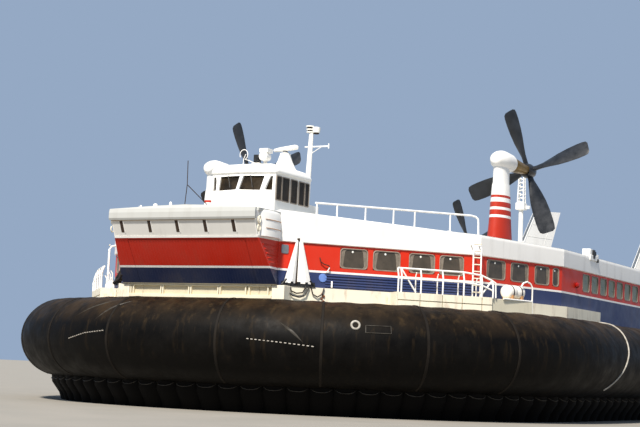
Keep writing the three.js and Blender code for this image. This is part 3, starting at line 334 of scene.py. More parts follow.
# Yellowed enamel near the deck, with brown runs and rust where boots and spray reach it
enamel_coaming = painted("coaming_enamel", "#EFE6CF", grime=0.5, rust=0.35, roughness=0.55)
enamel_foot = painted("foot_enamel", "#E2D9BF", grime=0.5, rust=0.1, roughness=0.55)
enamel_canister = painted("canister_enamel", "#EFEAE0", grime=0.6, rust=0.3, roughness=0.5)
stained_edge_and_shadow = painted("stained_edge_and_shadow", "#A39480", grime=0.6, rust=0.3, roughness=0.65)
rusty_edge = painted("rusty_edge", "#B98A5C", grime=0.9, rust=0.9, roughness=0.7)
# Flat grey paint with a coarse grain underfoot
deck_paint = mottled("deck_paint", "#6F7372", "#8A8D8A", 900, 0.8, strength=0.3)
# Rubber: near black and almost without sheen, so that only its taped seams, pale wear and a painted
# highlight are seen on it
bag_material = bag_rubber()
# The fingers' rubber is darker than the bag's, carrying painted shade for the shadow under the bag
finger_rubber_and_shade = mottled("finger_rubber_and_shade", "#040303", "#090807", 500, 0.7, strength=0.3, ior=1.18)
seam_tape = mottled("seam_tape", "#15110D", "#1F1A14", 300, 0.7, ior=1.25)
worn_seam = mottled("worn_seam", "#B5AFA4", "#8D867B", 200, 0.7)
scuffed_rubber_and_highlight = mottled("scuffed_rubber_and_highlight", "#46423B", "#2C2823", 200, 0.45, ior=1.3)
rubber_hose = mottled("rubber_hose", "#1A1714", "#2B2119", 120, 0.6)
# Black paint: a soft gloss on the blades, duller on the small fittings, brown where it sits in soot and as
# painted shade in slots and gaps
blade_paint = mottled("blade_paint", "#15171A", "#22252A", 400, 0.38)
black_fitting = mottled("black_fitting", "#121314", "#1F2021", 200, 0.5)
dark_brown_and_shade = mottled("dark_brown_and_shade", "#2A1D12", "#3B2A1A", 200, 0.7)
# Metal: dull orange rust, a brassy cone and the cool glint of unpainted aluminium
rusty_iron = mottled("rusty_iron", "#8A4A1E", "#5C3418", 120, 0.85)
bronze_cone = mottled("bronze_fairing", "#8A6A1E", "#5B4310", 500, 0.4, 0.45)
bare_aluminium = mottled("bare_aluminium", "#A9ABAA", "#8E9190", 300, 0.38, 0.9)
# Lamps and a cap: small bright spots of clear glass, red glass and pale blue paint
lamp_glass = mottled("lamp_glass", "#F6F5EE", "#E6E4DA", 60, 0.2)
red_lamp = mottled("red_lamp", "#A3160F", "#7E0F0A", 60, 0.2)
pale_blue = mottled("pale_blue_paint", "#6F8FD0", "#5F7FC4", 100, 0.45)
# Windows: taupe rubber round panes of acrylic, dark at the bow and greener along the side, and curtains
frame_rubber = mottled("window_frame", "#978B7E", "#837769", 200, 0.55)
pane_acrylic = mottled("window_pane", "#433D34", "#524A40", 500, 0.12, strength=0.01, ior=1.4)
green_pane = mottled("side_window_pane", "#767B66", "#8A8E79", 500, 0.3, strength=0.01, ior=1.3)
cabin_pane = mottled("cabin_pane", "#1C170E", "#33291A", 500, 0.2, strength=0.01, ior=1.28)
curtain_cloth = mottled("window_curtain", "#857A6C", "#6F6558", 160, 0.6)
glass = window_glass()

# The record's slot of each finish. All others are white paint.
SLOT_FINISHES = {
    "red_paint": [enamel_shade, red_lamp],
    "deck_paint": [deck_paint],
    "skirt_rubber": [bag_material, finger_rubber_and_shade, seam_tape, worn_seam, scuffed_rubber_and_highlight, rubber_hose],
    "blade_black": [blade_paint, black_fitting, dark_brown_and_shade],
    "engine_metal": [bronze_cone, bare_aluminium],
    "window_glass": [glass, pane_acrylic, green_pane, cabin_pane],
}
RECORD_SLOTS = {finish.name: slot for slot, finishes in SLOT_FINISHES.items() for finish in finishes}

NODE_FINISHES = {
    "buoyancy_hull": deck_paint,
    "bow_portal": enamel_front_shaded,
    "bow_ramp_door": enamel_front_shaded,
    "stern_wall": enamel_bands,
    "stern_ramp_door": enamel_bands,
    "engine_block_port": bare_aluminium,
    "engine_block_starboard": bare_aluminium,
    "coaming_port": enamel_coaming,
    "coaming_starboard": enamel_coaming,
    "window_glass_port": glass,
    "window_glass_starboard": glass,
    "control_cabin_glass": cabin_pane,
    "control_cabin": enamel_cabin,
    "roof_bow": roof_paint,
    "roof_middle": roof_paint,
    "roof_stern": roof_paint,
}
for node_name, node_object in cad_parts.items():
    finish = NODE_FINISHES.get(node_name, enamel_bands if node_name.startswith("wall_") else enamel_white)
    node_object.data.materials.clear()
    node_object.data.materials.append(finish)


# Making pieces

class Form:
    """Points and faces of one piece, gathered in the real craft's metres."""

    def __init__(self):
        self.points = []
        self.faces = []

    def add(self, points, faces):
        start = len(self.points)
        self.points.extend(Vector(p) for p in points)
        self.faces.extend([start + i for i in face] for face in faces)
        return self

    def loft(self, rings, closed=False):
        """A skin over rings of points, capped at its ends, or closed from the last ring to the first."""
        count = len(rings[0])
        faces = []
        for r in range(len(rings) if closed else len(rings) - 1):
            here, there = r * count, (r + 1) % len(rings) * count
            faces += [[here + i, here + (i + 1) % count, there + (i + 1) % count, there + i]
                      for i in range(count)]
        if not closed:
            last = (len(rings) - 1) * count
            faces += [list(range(count))[::-1], [last + i for i in range(count)]]
        return self.add([p for ring in rings for p in ring], faces)

    def block(self, low, high):
        (x0, y0, z0), (x1, y1, z1) = low, high
        rings = [[(x0, y0, z), (x1, y0, z), (x1, y1, z), (x0, y1, z)] for z in (z0, z1)]
        return self.loft(rings)

    def tube(self, points, radius, sides=10, end_radius=None):
        """A round tube along a chain of points, with its bends mitred."""
        points = [Vector(p) for p in points]
        ways = [(b - a).normalized() for a, b in zip(points, points[1:])]
        rings = []
        side = ways[0].orthogonal().normalized()
        for i, point in enumerate(points):
            before, after = ways[max(i - 1, 0)], ways[min(i, len(ways) - 1)]
            bend = (before + after).normalized()
            side = (side - bend * side.dot(bend)).normalized()
            other = bend.cross(side)
            share = i / (len(points) - 1)
            size = radius if end_radius is None else radius + (end_radius - radius) * share
            widen = 1 / max(0.5, math.cos(before.angle(after) / 2)) if before.angle(after) > 1e-4 else 1
            rings.append([point + side * size * widen * math.cos(a) + other * size * math.sin(a)
                          for a in circle(sides)])
        return self.loft(rings)

    def turned(self, profile, origin, axis, sides=24):
        """A shape turned round an axis. The profile is a list of distances along the axis and radii."""
        axis = Vector(axis).normalized()
        side = axis.orthogonal().normalized()
        other = axis.cross(side)
        rings = []
        for along, radius in profile:
            centre = Vector(origin) + axis * along
            rings.append([centre + side * radius * math.cos(a) + other * radius * math.sin(a)
                          for a in circle(sides)])
        return self.loft(rings)

    def plate(self, outline, thickness):
        """A flat plate from an outline of points and the vector that it is thick along."""
        through = Vector(thickness)
        return self.loft([[Vector(p) for p in outline], [Vector(p) + through for p in outline]])

    def piece(self, name, material, body="craft", smooth=30, bevel=0.0, replaces=()):
        """Make the piece, facing out, riding on its body."""
        mesh = bpy.data.meshes.new(name)
        mesh.from_pydata([p * SCALE for p in self.points], [], self.faces)
        turn_outward(mesh)
        mesh.materials.append(material)
        shaded = bpy.data.objects.new(name, mesh)
        bpy.context.scene.collection.objects.link(shaded)
        if smooth:
            mesh.polygons.foreach_set("use_smooth", [True] * len(mesh.polygons))
            mesh.set_sharp_from_angle(angle=math.radians(smooth))
        if bevel:
            edge = shaded.modifiers.new("edge", "BEVEL")
            edge.width = bevel * SCALE
            edge.segments = 2
            edge.limit_method = "ANGLE"
        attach(shaded, body)
        RECORD_SLOTS.get(material.name, "white_paint")
        if replaces:
            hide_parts(*replaces)
        return shaded


def turn_outward(mesh):
    """Let every face of a mesh look out of it."""
    shell = bmesh.new()
    shell.from_mesh(mesh)
    bmesh.ops.recalc_face_normals(shell, faces=shell.faces)
    shell.to_mesh(mesh)
    shell.free()


# Skirt

def bag_outline():
    """Points and outward normals round the middle of the bag, from the starboard side of the bow."""
    angles = np.linspace(-np.pi / 2, np.pi / 2, 361)
    along = np.clip(np.cos(angles), 0, 1) ** (2 / BOW_CURVE_POWER)
    across = np.sign(angles) * np.abs(np.sin(angles)) ** (2 / BOW_CURVE_POWER)
    reach = BAG_PATH_BOW_X - BOW_CURVE_X
    bow = np.stack([BOW_CURVE_X + reach * along, BAG_PATH_Y * across,
                    along ** (BOW_CURVE_POWER - 1) / reach,
                    np.sign(across) * np.abs(across) ** (BOW_CURVE_POWER - 1) / BAG_PATH_Y], 1)
    parts = [bow]
    corner_x = -LENGTH / 2 + BAG_HALF_WIDTH + STERN_CORNER_RADIUS
    corner_y = BAG_PATH_Y - STERN_CORNER_RADIUS
    for middle_y, start in ((corner_y, np.pi / 2), (-corner_y, np.pi)):
        turn = start + np.linspace(0, np.pi / 2, 41)
        cos, sin = np.cos(turn), np.sin(turn)
        parts.append(np.stack([corner_x + STERN_CORNER_RADIUS * cos, middle_y + STERN_CORNER_RADIUS * sin,
                               cos, sin], 1))
    path = np.concatenate(parts + [bow[:1]])
    path[:, 2:] /= np.linalg.norm(path[:, 2:], axis=1, keepdims=True)
    return path


def bag_stations(count):
    """Stations spaced evenly round the bag's outside, and the distance of each from the first."""
    path = bag_outline()
    outside = path[:, :2] + path[:, 2:] * BAG_HALF_WIDTH
    lengths = np.concatenate([[0], np.cumsum(np.linalg.norm(np.diff(outside, axis=0), axis=1))])
    wanted = np.arange(count) / count * lengths[-1]
    stations = np.stack([np.interp(wanted, lengths, path[:, k]) for k in range(4)], 1)
    stations[:, 2:] /= np.linalg.norm(stations[:, 2:], axis=1, keepdims=True)
    return stations, wanted


BAG_TOP_ANGLE = math.acos(-HULL_INSET / BAG_HALF_WIDTH)
BAG_INNER_ANGLE = math.radians(-145)
BAG_STATION_COUNT = 560
BAG_STEPS = 40
STATIONS_PER_FINGER = 8


def bag_point(angle, swell=0.0):
    """Distance out from the path, and height, of a point on the bag's section."""
    return ((BAG_HALF_WIDTH + swell) * math.cos(angle),
            BAG_MIDDLE_Z + (BAG_HALF_HEIGHT + swell) * math.sin(angle))


def bag_swell(distance, angle):
    """Slow waves along the bag and folds at its edges, in metres inwards from its fullest shape."""
    slow = 0.5 + 0.25 * math.sin(distance * 0.9) + 0.25 * math.sin(distance * 0.37 + 1.3)
    folds = 0.5 + 0.5 * math.sin(distance * 4.1 + 0.7 * math.sin(distance * 0.83))
    near_top = 1.6 * max(0.0, math.sin(angle)) ** 3
    near_bottom = max(0.0, -math.sin(angle)) ** 4
    return -(0.035 * slow + 0.02 * folds * (near_top + near_bottom))


BAG_STATIONS, BAG_DISTANCES = bag_stations(BAG_STATION_COUNT)


def skirt_bag():
    angles = [BAG_TOP_ANGLE + (BAG_INNER_ANGLE - BAG_TOP_ANGLE) * i / BAG_STEPS
              for i in range(BAG_STEPS + 1)]
    rings = []
    for (x, y, nx, ny), distance in zip(BAG_STATIONS, BAG_DISTANCES):
        section = [bag_point(a, bag_swell(distance, a)) for a in angles]
        section += [(-1.6, HULL_BOTTOM_Z - 0.001), (-HULL_INSET + 0.001, HULL_BOTTOM_Z - 0.001)]
        rings.append([(x + nx * out, y + ny * out, z) for out, z in section])
    Form().loft(rings, closed=True).piece("bag", bag_material, smooth=60, replaces=["skirt_bag"])


def skirt_fingers():
    """The ring of fingers under the bag, each of them bulging out between two grooves."""
    stations, _ = bag_stations(FINGER_COUNT * STATIONS_PER_FINGER)
    rings = []
    for i, (x, y, nx, ny) in enumerate(stations):
        bulge = math.sqrt(abs(math.sin(math.pi * i / STATIONS_PER_FINGER)))
        foot = -FINGER_INSET - FINGER_GROOVE * (1 - bulge)
        lip = foot + FINGER_LEAN
        section = [(foot, 0), (foot + 0.12, 0.32), (lip - 0.04, 0.78),
                   (lip, BAG_BOTTOM_Z + 0.02 + 0.05 * bulge), (lip - 0.1, BAG_BOTTOM_Z),
                   (-0.45, BAG_BOTTOM_Z - 0.02), (-0.8, 0)]
        rings.append([(x + nx * out, y + ny * out, z) for out, z in section])
    Form().loft(rings, closed=True).piece("fingers", finger_rubber_and_shade, smooth=50, replaces=["skirt_fingers"])


def bag_station(distance):
    """Place and outward normal, in plan, of the bag's middle at a distance round it."""
    return [float(np.interp(distance, BAG_DISTANCES, BAG_STATIONS[:, k])) for k in range(4)]


def bag_spot(distance, angle_deg, out=0.0):
    """A point on the bag's skin, at a distance round it and an angle up from its widest line."""
    angle = math.radians(angle_deg)
    x, y, nx, ny = bag_station(distance)
    reach, z = bag_point(angle, bag_swell(distance, angle) + out)
    return Vector((x + nx * reach, y + ny * reach, z))


BOW_MIDDLE = float(BAG_DISTANCES[int(np.argmax(BAG_STATIONS[:, 0]))])
# Marks as distance round the bag and angle on it. Seams and the edge rope run down the bag, stitches run
# along it, and scuffs and a painted highlight slant over it. The seams' distances are from the middle of the
# bow.
SEAM_DISTANCES = [2.6, 6.8, 11.0, 15.2]
SEAM_ANGLES = range(96, -80, -8)
# Section of the seam's tape: distance along the bag, and out from its skin
TAPE_SECTION = [(-0.06, 0.002), (-0.045, 0.022), (0.045, 0.022), (0.06, 0.002)]
STITCH_RADIUS = 0.022
ROPE_RADIUS = 0.04
LACING_RADIUS = 0.016
EDGE_SEAM = [(48.0, 86), (48.3, 70), (48.0, 50), (47.5, 26), (47.2, 10), (46.7, -10), (46.1, -32),
             (45.6, -50)]
STITCHES = [[(26.4, 3), (27.7, 0), (29.1, -4)], [(17.5, -4), (18.6, 4), (19.8, 8)]]
SCUFFS_AND_HIGHLIGHT = [
    # First streak, low on the port bow: a painted highlight
    [(27.5, 30), (28.1, 16), (28.6, 1)],
    [(17.6, 28), (18.4, 45), (19.4, 62)],
    [(19.0, 22), (19.6, 42), (20.4, 60)],
]
RING_PLACE = (30.6, 27)
PATCH = [(31.0, 27), (32.0, 27), (32.0, 17), (31.0, 17)]
LACING_STEPS = 6


def along_marks(points, count):
    """Points spaced along a chain of distance and angle."""
    distances, angles = zip(*points)
    places = range(len(points))
    return [(float(np.interp(t, places, distances)), float(np.interp(t, places, angles)))
            for t in np.linspace(0, len(points) - 1, count)]


def skirt_seams():
    """Flat tape over the seams that run down the bag round the bow."""
    seams = Form()
    for distance in [BOW_MIDDLE + side * d for side in (-1, 1) for d in SEAM_DISTANCES]:
        seams.loft([[bag_spot(distance + step, angle, out) for step, out in TAPE_SECTION]
                    for angle in SEAM_ANGLES])
    seams.piece("skirt_seams", seam_tape, smooth=40)


def skirt_stitches():
    stitches = Form()
    for chain in STITCHES:
        marks = along_marks(chain, 33)
        for first, second in zip(marks[::2], marks[1::2]):
            stitches.tube([bag_spot(*first, 0.012), bag_spot(*second, 0.012)], STITCH_RADIUS, 6)
    stitches.piece("skirt_stitches", worn_seam, smooth=40)


def skirt_edge_rope():
    """The rope down the edge seam on each side, and the ring on the bag."""
    rope = Form()
    for side in (1, -1):
        marks = [(BOW_MIDDLE + side * (d - BOW_MIDDLE), a) for d, a in along_marks(EDGE_SEAM, 48)]
        rope.tube([bag_spot(*mark, 0.01) for mark in marks], ROPE_RADIUS, 8)
    ring = [bag_spot(RING_PLACE[0] + 0.16 * math.cos(a), RING_PLACE[1] + 5.5 * math.sin(a), 0.01)
            for a in circle(24) + [2 * math.pi]]
    rope.tube(ring, 0.045, 8)
    rope.piece("skirt_edge_rope", worn_seam, smooth=60)


def skirt_scuffs_and_highlight():
    """Raised pale streaks, and the edges of a square patch. The first streak, low on the port bow, is a
    painted highlight.
    """
    scuffs = Form()
    for chain in SCUFFS_AND_HIGHLIGHT:
        rings = []
        for i, (d, a) in enumerate(along_marks(chain, 9)):
            size = 0.5 - 0.5 * math.cos(2 * math.pi * (i + 0.4) / 9.4)
            half = 0.1 * size + 0.01
            low, crest = bag_spot(d, a, -0.02), bag_spot(d, a, 0.03 * size)
            rings.append([bag_spot(d - half, a, -0.01), crest, bag_spot(d + half, a, -0.01), low])
        scuffs.loft(rings)
    for first, second in zip(PATCH, PATCH[1:] + PATCH[:1]):
        marks = along_marks([first, second], 7)
        scuffs.tube([bag_spot(*mark, 0.008) for mark in marks], 0.02, 6)
    scuffs.piece("skirt_scuffs_and_highlight", scuffed_rubber_and_highlight, smooth=60)


def finger_lacing():
    """A cord over the top of each finger, where it is laced to the bag."""
    cords = Form()
    finger = BAG_DISTANCES[-1] * BAG_STATION_COUNT / (BAG_STATION_COUNT - 1) / FINGER_COUNT
    for k in range(FINGER_COUNT):
        points = []
        for step in range(LACING_STEPS + 1):
            share = step / LACING_STEPS
            x, y, nx, ny = bag_station((k + 0.04 + 0.92 * share) * finger)
            bulge = math.sqrt(abs(math.sin(math.pi * share)) + 1e-6)
            reach = -FINGER_INSET + FINGER_LEAN + 0.012 - FINGER_GROOVE * (1 - bulge)
            z = BAG_BOTTOM_Z - 0.12 + 0.14 * abs(2 * share - 1) ** 3
            points.append((x + nx * reach, y + ny * reach, z))
        cords.tube(points, LACING_RADIUS, 5)
    cords.piece("finger_lacing", scuffed_rubber_and_highlight, smooth=60)


skirt_bag()
skirt_fingers()
skirt_seams()
skirt_stitches()
skirt_edge_rope()
skirt_scuffs_and_highlight()
finger_lacing()


# Walls and windows

# Each wall's plan to port, from its forward end to its aft end
WALLS = {
    "flare": ((FRONT_FOOT_X, FRONT_HALF_WIDTH), FLARE_END),
    "shoulder": (FLARE_END, SHOULDER_END),
    "side": (SHOULDER_END, (STERN_X, SHOULDER_END[1])),
}


def on_wall(wall, sign, along, out, z):
    """A point from its distance aft along a wall, its distance out from the wall and its height."""
    start, end = (Vector((x, y * sign, 0)) for x, y in WALLS[wall])
    way = (end - start).normalized()
    outward = Vector((way.y, -way.x, 0)) * sign
    point = start + way * along + outward * out
    return Vector((point.x, point.y, z))


def out_from(wall, sign, out=1):
    """The step straight out from a wall."""
    return on_wall(wall, sign, 0, out, 0) - on_wall(wall, sign, 0, 0, 0)


def wall_block(form, wall, sign, along, out, z):
    """A box on a wall, from its ranges along the wall, out from it and in height."""
    plan = ((along[0], out[0]), (along[1], out[0]), (along[1], out[1]), (along[0], out[1]))
    form.loft([[on_wall(wall, sign, a, o, h) for a, o in plan] for h in z])


def wall_tube(form, wall, sign, points, radius):
    """A tube through points given as distance along a wall, distance out from it and height."""
    form.tube([on_wall(wall, sign, *point) for point in points], radius, 8)


WINDOW_PITCH = 1.31
WINDOW_LENGTH = 0.98
# Middle of the first window of the long side, forward of amidships
FIRST_WINDOW_X = 9.08
FIRST_WINDOW = SHOULDER_END[0] - FIRST_WINDOW_X - WINDOW_LENGTH / 2
SIDE_WINDOW_STARTS = [FIRST_WINDOW + WINDOW_PITCH * i for i in range(20)]
# Where each window starts and ends along its wall
WINDOWS = {
    "flare": [(2.67, 3.88), (4.12, 5.33), (5.73, 6.9), (7.12, 8.23)],
    "shoulder": [(0.51, 1.8), (2.18, 3.44), (3.91, 4.99), (5.25, 5.72)],
    "side": [(start, start + WINDOW_LENGTH) for start in SIDE_WINDOW_STARTS],
}
WINDOW_RADIUS = 0.14
PANE_DEPTH = -0.03
PANE_BACK = -0.045
CURTAIN_TAPER = 0.2


def rounded(low, high, radius, steps=5):
    """A rectangle with round corners, as points in its own plane."""
    (x0, z0), (x1, z1) = low, high
    corners = [((x1 - radius, z0 + radius), -90), ((x1 - radius, z1 - radius), 0),
               ((x0 + radius, z1 - radius), 90), ((x0 + radius, z0 + radius), 180)]
    points = []
    for (cx, cz), start in corners:
        for i in range(steps + 1):
            angle = math.radians(start + 90 * i / steps)
            points.append((cx + radius * math.cos(angle), cz + radius * math.sin(angle)))
    return points


def window_ring(form, place, outer, inner, depths):
    """A frame between two outlines. Place puts a point of the window's plane at a depth on the craft."""
    back, front = depths
    rings = [[place(u, depth, z) for u, z in outline]
             for outline, depth in ((outer, back), (outer, front), (inner, front), (inner, back))]
    form.loft(rings, closed=True)


def passenger_windows(side, sign):
    frames, panes, aft_panes, curtains, lamps = (Form() for _ in range(5))
    low, high = WINDOW_Z
    for wall, spans in WINDOWS.items():
        for start, end in spans:
            def place(u, out, z):
                return on_wall(wall, sign, u, out, z)
            outer = rounded((start - 0.01, low - 0.01), (end + 0.01, high + 0.01), 0.16)
            inner = rounded((start + 0.03, low + 0.03), (end - 0.03, high - 0.03), WINDOW_RADIUS)
            window_ring(frames, place, outer, inner, (-0.02, 0.012))
            edge = rounded((start + 0.02, low + 0.02), (end - 0.02, high - 0.02), WINDOW_RADIUS)
            pane = aft_panes if wall == "side" else panes
            through = place(0, PANE_BACK, 0) - place(0, PANE_DEPTH, 0)
            pane.plate([place(u, PANE_DEPTH, z) for u, z in edge], through)
            if wall == "side":
                continue
            narrow = min(0.13, (end - start) * 0.13)
            drawn = rounded((start + narrow, low + 0.04), (end - narrow, high - 0.05), 0.12)
            middle = (start + end) / 2
            opening = [(middle + (u - middle) * (1 - CURTAIN_TAPER * (z - low) / (high - low)), z)
                       for u, z in drawn]
            window_ring(curtains, place, edge, opening, (PANE_DEPTH + 0.001, -0.02))
            lamps.turned([(0, 0.04), (0.012, 0.045), (0.02, 0.02)],
                         place(middle - 0.06, PANE_DEPTH, high - 0.13), out_from(wall, sign), 12)
    frames.piece(f"window_frames_{side}", frame_rubber, bevel=0.008)
    panes.piece(f"window_panes_{side}", pane_acrylic)
    aft_panes.piece(f"aft_window_panes_{side}", green_pane)
    curtains.piece(f"window_curtains_{side}", curtain_cloth)
    lamps.piece(f"cabin_lamps_{side}", lamp_glass)


on_both_sides(passenger_windows)


# Bow front

def front_x(z):
    """How far forward the front's skin stands at a height."""
    if z < COAMING_TOP_Z:
        return BOW_STEP_X
    if z < RED_TOP_Z:
        return FRONT_TOP_X - FRONT_RAKE * (RED_TOP_Z - z)
    return FRONT_TOP_X + (LIP_X - FRONT_TOP_X) * min(1.0, (z - RED_TOP_Z) / (LIP_LOW_Z - RED_TOP_Z))


RIB_PITCH = 0.135
RIB_WIDTH = 0.06
RIB_PROUD = 0.012
# Where the corrugations run: across the front, up to a height, and the body they ride on
RIB_SPANS = {
    "door": (-RAMP_HALF_WIDTH + 0.02, RAMP_HALF_WIDTH - 0.02, RAMP_TOP_Z - 0.04, "bow_ramp"),
    "port": (RAMP_HALF_WIDTH + 0.02, FRONT_HALF_WIDTH - 0.03, RED_TOP_Z, "craft"),
    "starboard": (-FRONT_HALF_WIDTH + 0.03, -RAMP_HALF_WIDTH - 0.02, RED_TOP_Z, "craft"),
}


def front_ribs(part, low_y, high_y, top_z, body):
    """Upright corrugations pressed into the front's sheet."""
    ribs = Form()
    count = int((high_y - low_y) / RIB_PITCH)
    for i in range(count):
        y = low_y + (i + 0.5) * (high_y - low_y) / count
        rings = []
        for z in (COAMING_TOP_Z + 0.02, top_z):
            x = front_x(z)
            rings.append([(x - 0.005, y - RIB_WIDTH / 2, z), (x + RIB_PROUD, y - RIB_WIDTH / 4, z),
                          (x + RIB_PROUD, y + RIB_WIDTH / 4, z), (x - 0.005, y + RIB_WIDTH / 2, z)])
        ribs.loft(rings)
    ribs.piece(f"front_ribs_{part}", enamel_front_shaded, body, smooth=0)


for part, span in RIB_SPANS.items():
    front_ribs(part, *span)

SLOT_PLACES = [-2.97, -1.59, -0.24, 1.11, 2.45]
SLOT_LOW_Z = 7.12
SLOT_HALF_WIDTH = 0.085
FOOT_RIBS = [-3.4, -3.28, -1.88, -1.78, -0.49, -0.39, 0.93, 1.03, 2.25, 2.42, 3.3]
FOOT_LEDGE_Z = (4.55, 4.68)
FOOT_END_Y = 4.05
LAMP_DOME = [(0, 0.1), (0.08, 0.1), (0.13, 0.05)]


def front_strip(form, low_y, high_y, low_z, high_z, proud):
    """A strip that lies on the front between two heights, following its slope."""
    rings = []
    for z in (low_z, high_z):
        x = front_x(z)
        rings.append([(x - 0.01, low_y, z), (x + proud, low_y, z), (x + proud, high_y, z),
                      (x - 0.01, high_y, z)])
    form.loft(rings)


def front_top():
    """The white panel over the red band, its slots painted dark as shade, and a dark line under the lip:
    stain with the lip's painted shadow.
    """
    half = FRONT_HALF_WIDTH
    panel, slots, edges, lip_stain_and_shadow = Form(), Form(), Form(), Form()
    front_strip(panel, -half + 0.05, half - 0.05, RED_TOP_Z + 0.09, LIP_LOW_Z - 0.03, 0.012)
    panel.piece("front_upper_panel", enamel_panel, smooth=0)
    # Each slot is a dark brown strip standing a little proud: painted shade for the slot's depth
    for y in SLOT_PLACES:
        edge = y + SLOT_HALF_WIDTH
        front_strip(slots, y - SLOT_HALF_WIDTH, edge, SLOT_LOW_Z, LIP_LOW_Z - 0.01, 0.02)
        front_strip(edges, edge, edge + 0.03, SLOT_LOW_Z - 0.02, LIP_LOW_Z - 0.01, 0.04)
    slots.piece("front_slots", dark_brown_and_shade, smooth=0)
    front_strip(edges, -half + 0.02, half - 0.02, RED_TOP_Z + 0.005, RED_TOP_Z + 0.08, 0.035)
    edges.piece("front_slot_edges", enamel_white, smooth=0)
    # Dark strip under the lip: stain together with the lip's painted shadow
    lip_stain_and_shadow.block((LIP_X - 0.02, -half + 0.02, LIP_LOW_Z - 0.035),
                (LIP_X + 0.045, half - 0.02, LIP_LOW_Z - 0.002))
    lip_stain_and_shadow.piece("front_lip_stain_and_shadow", stained_edge_and_shadow, smooth=0)


def front_foot():
    """The ribbed cream step below the front."""
    half, step = FRONT_HALF_WIDTH, BOW_STEP_X
    ledge_low, ledge_high = FOOT_LEDGE_Z
    foot, ends = Form(), Form()
    for y in FOOT_RIBS:
        foot.block((step - 0.02, y - 0.03, ledge_high), (step + 0.1, y + 0.03, COAMING_TOP_Z - 0.06))
    foot.block((step - 0.02, -half, ledge_low), (step + 0.12, half, ledge_high))
    foot.block((step - 0.02, -half, COAMING_TOP_Z - 0.07), (step + 0.14, half, COAMING_TOP_Z - 0.01))
    foot.piece("front_foot_ribs", enamel_foot, smooth=0, bevel=0.01)
    for sign in SIDES.values():
        near, far = sorted((sign * (half + 0.005), sign * FOOT_END_Y))
        ends.block((FRONT_FOOT_X - 0.4, near, DECK_Z + 0.1), (step + 0.1, far, COAMING_TOP_Z - 0.005))
    ends.piece("front_foot_ends", enamel_coaming, smooth=0, bevel=0.02)
    seam = Form().block((step, -half, DECK_Z + 0.02), (step + 0.07, half, ledge_low - 0.01))
    seam.piece("front_foot_seam", rusty_edge, smooth=0)
    lamp = Form().turned(LAMP_DOME, (LIP_X - 0.3, -1.5, roof_top(1.5)), UP)
    lamp.piece("front_lamp", lamp_glass)


front_top()
front_foot()


# Cheeks between the front and the flare: a louvred panel below and a rounded fairing above

CHEEK_INNER_Y = 3.46
CHEEK_WIDENING = 0.28
CHEEK_LEVELS = (COAMING_TOP_Z + 0.01, BLUE_TOP_Z, RED_LOW_Z, 6.3, RED_TOP_Z - 0.01)
CHEEK_LOUVRE_Z = [5.96 + 0.17 * i for i in range(5)]
CHEEK_LOUVRE_SECTION = ((-0.03, 0), (0.045, 0.0), (0.045, 0.02), (-0.03, 0.1))
# Place along the craft, and how far the fairing's foot stands out there
CHEEK_STATIONS = [(26.46, 0.03), (26.25, 0.2), (25.7, 0.25), (25.15, 0.19), (24.8, 0.04)]
# Share of the foot's reach, and height
CHEEK_SKIN = [(1.0, 6.97), (0.93, 7.3), (0.72, 7.65), (0.42, 7.93), (0.16, 8.05), (-0.6, 8.11)]
TOWING_LOOP_Z = (7.28, 7.6)


def cheek_y(x, z):
    """The cheek's surface, which widens from the flare's start to the front's lower corner."""
    widening = CHEEK_WIDENING * (RED_TOP_Z - z) / (RED_TOP_Z - COAMING_TOP_Z)
    return FRONT_HALF_WIDTH + widening * (x - FRONT_FOOT_X) / (front_x(z) - FRONT_FOOT_X)


def cheek_panel(side, sign):
    skin, louvres = Form(), Form()
    rings = []
    back = FRONT_FOOT_X + 0.03
    for z in CHEEK_LEVELS:
        front = front_x(z) + 0.004
        rings.append([(back, sign * CHEEK_INNER_Y, z), (front, sign * CHEEK_INNER_Y, z),
                      (front, sign * (cheek_y(front, z) + 0.004), z),
                      (back, sign * (FRONT_HALF_WIDTH + 0.004), z)])
    skin.loft(rings)
    skin.piece(f"cheek_panel_{side}", enamel_front_shaded, smooth=0)
    for z in CHEEK_LOUVRE_Z:
        louvres.loft([[(x, sign * (cheek_y(x, z) + out), z + up) for out, up in CHEEK_LOUVRE_SECTION]
                      for x in (FRONT_FOOT_X + 0.1, front_x(z) - 0.15)])
    louvres.piece(f"cheek_louvres_{side}", enamel_shade, smooth=0)


def cheek_fairing(side, sign):
    fairing, strips, loops = Form(), Form(), Form()
    low_z, high_z = CHEEK_SKIN[0][1], CHEEK_SKIN[-1][1] - 0.1
    rings = []
    for x, swell in CHEEK_STATIONS:
        skin = [(x, sign * (FRONT_HALF_WIDTH + 0.02 + swell * share), z) for share, z in CHEEK_SKIN]
        inside = [(x, sign * (CHEEK_INNER_Y - 0.3), high_z), (x, sign * CHEEK_INNER_Y, low_z)]
        rings.append(skin + inside)
    fairing.loft(rings)
    fairing.piece(f"cheek_fairing_{side}", enamel_cabin, smooth=50)
    for share, z in CHEEK_SKIN[1:3]:
        strips.tube([(x, sign * (FRONT_HALF_WIDTH + 0.022 + swell * share), z)
                     for x, swell in CHEEK_STATIONS[1:]], 0.016, 6)
    strips.piece(f"cheek_strips_{side}", rusty_edge, smooth=40)
    for z in TOWING_LOOP_Z:
        loops.tube([(FRONT_TOP_X + 0.1 - 0.1 * math.sin(a), sign * (FRONT_HALF_WIDTH + 0.08),
                     z + 0.14 * math.cos(a)) for a in circle(16)[:15]], 0.028, 8)
    loops.piece(f"cheek_towing_eye_{side}", enamel_coaming, smooth=60)


on_both_sides(cheek_panel, cheek_fairing)


# Roof edge and fittings on the walls

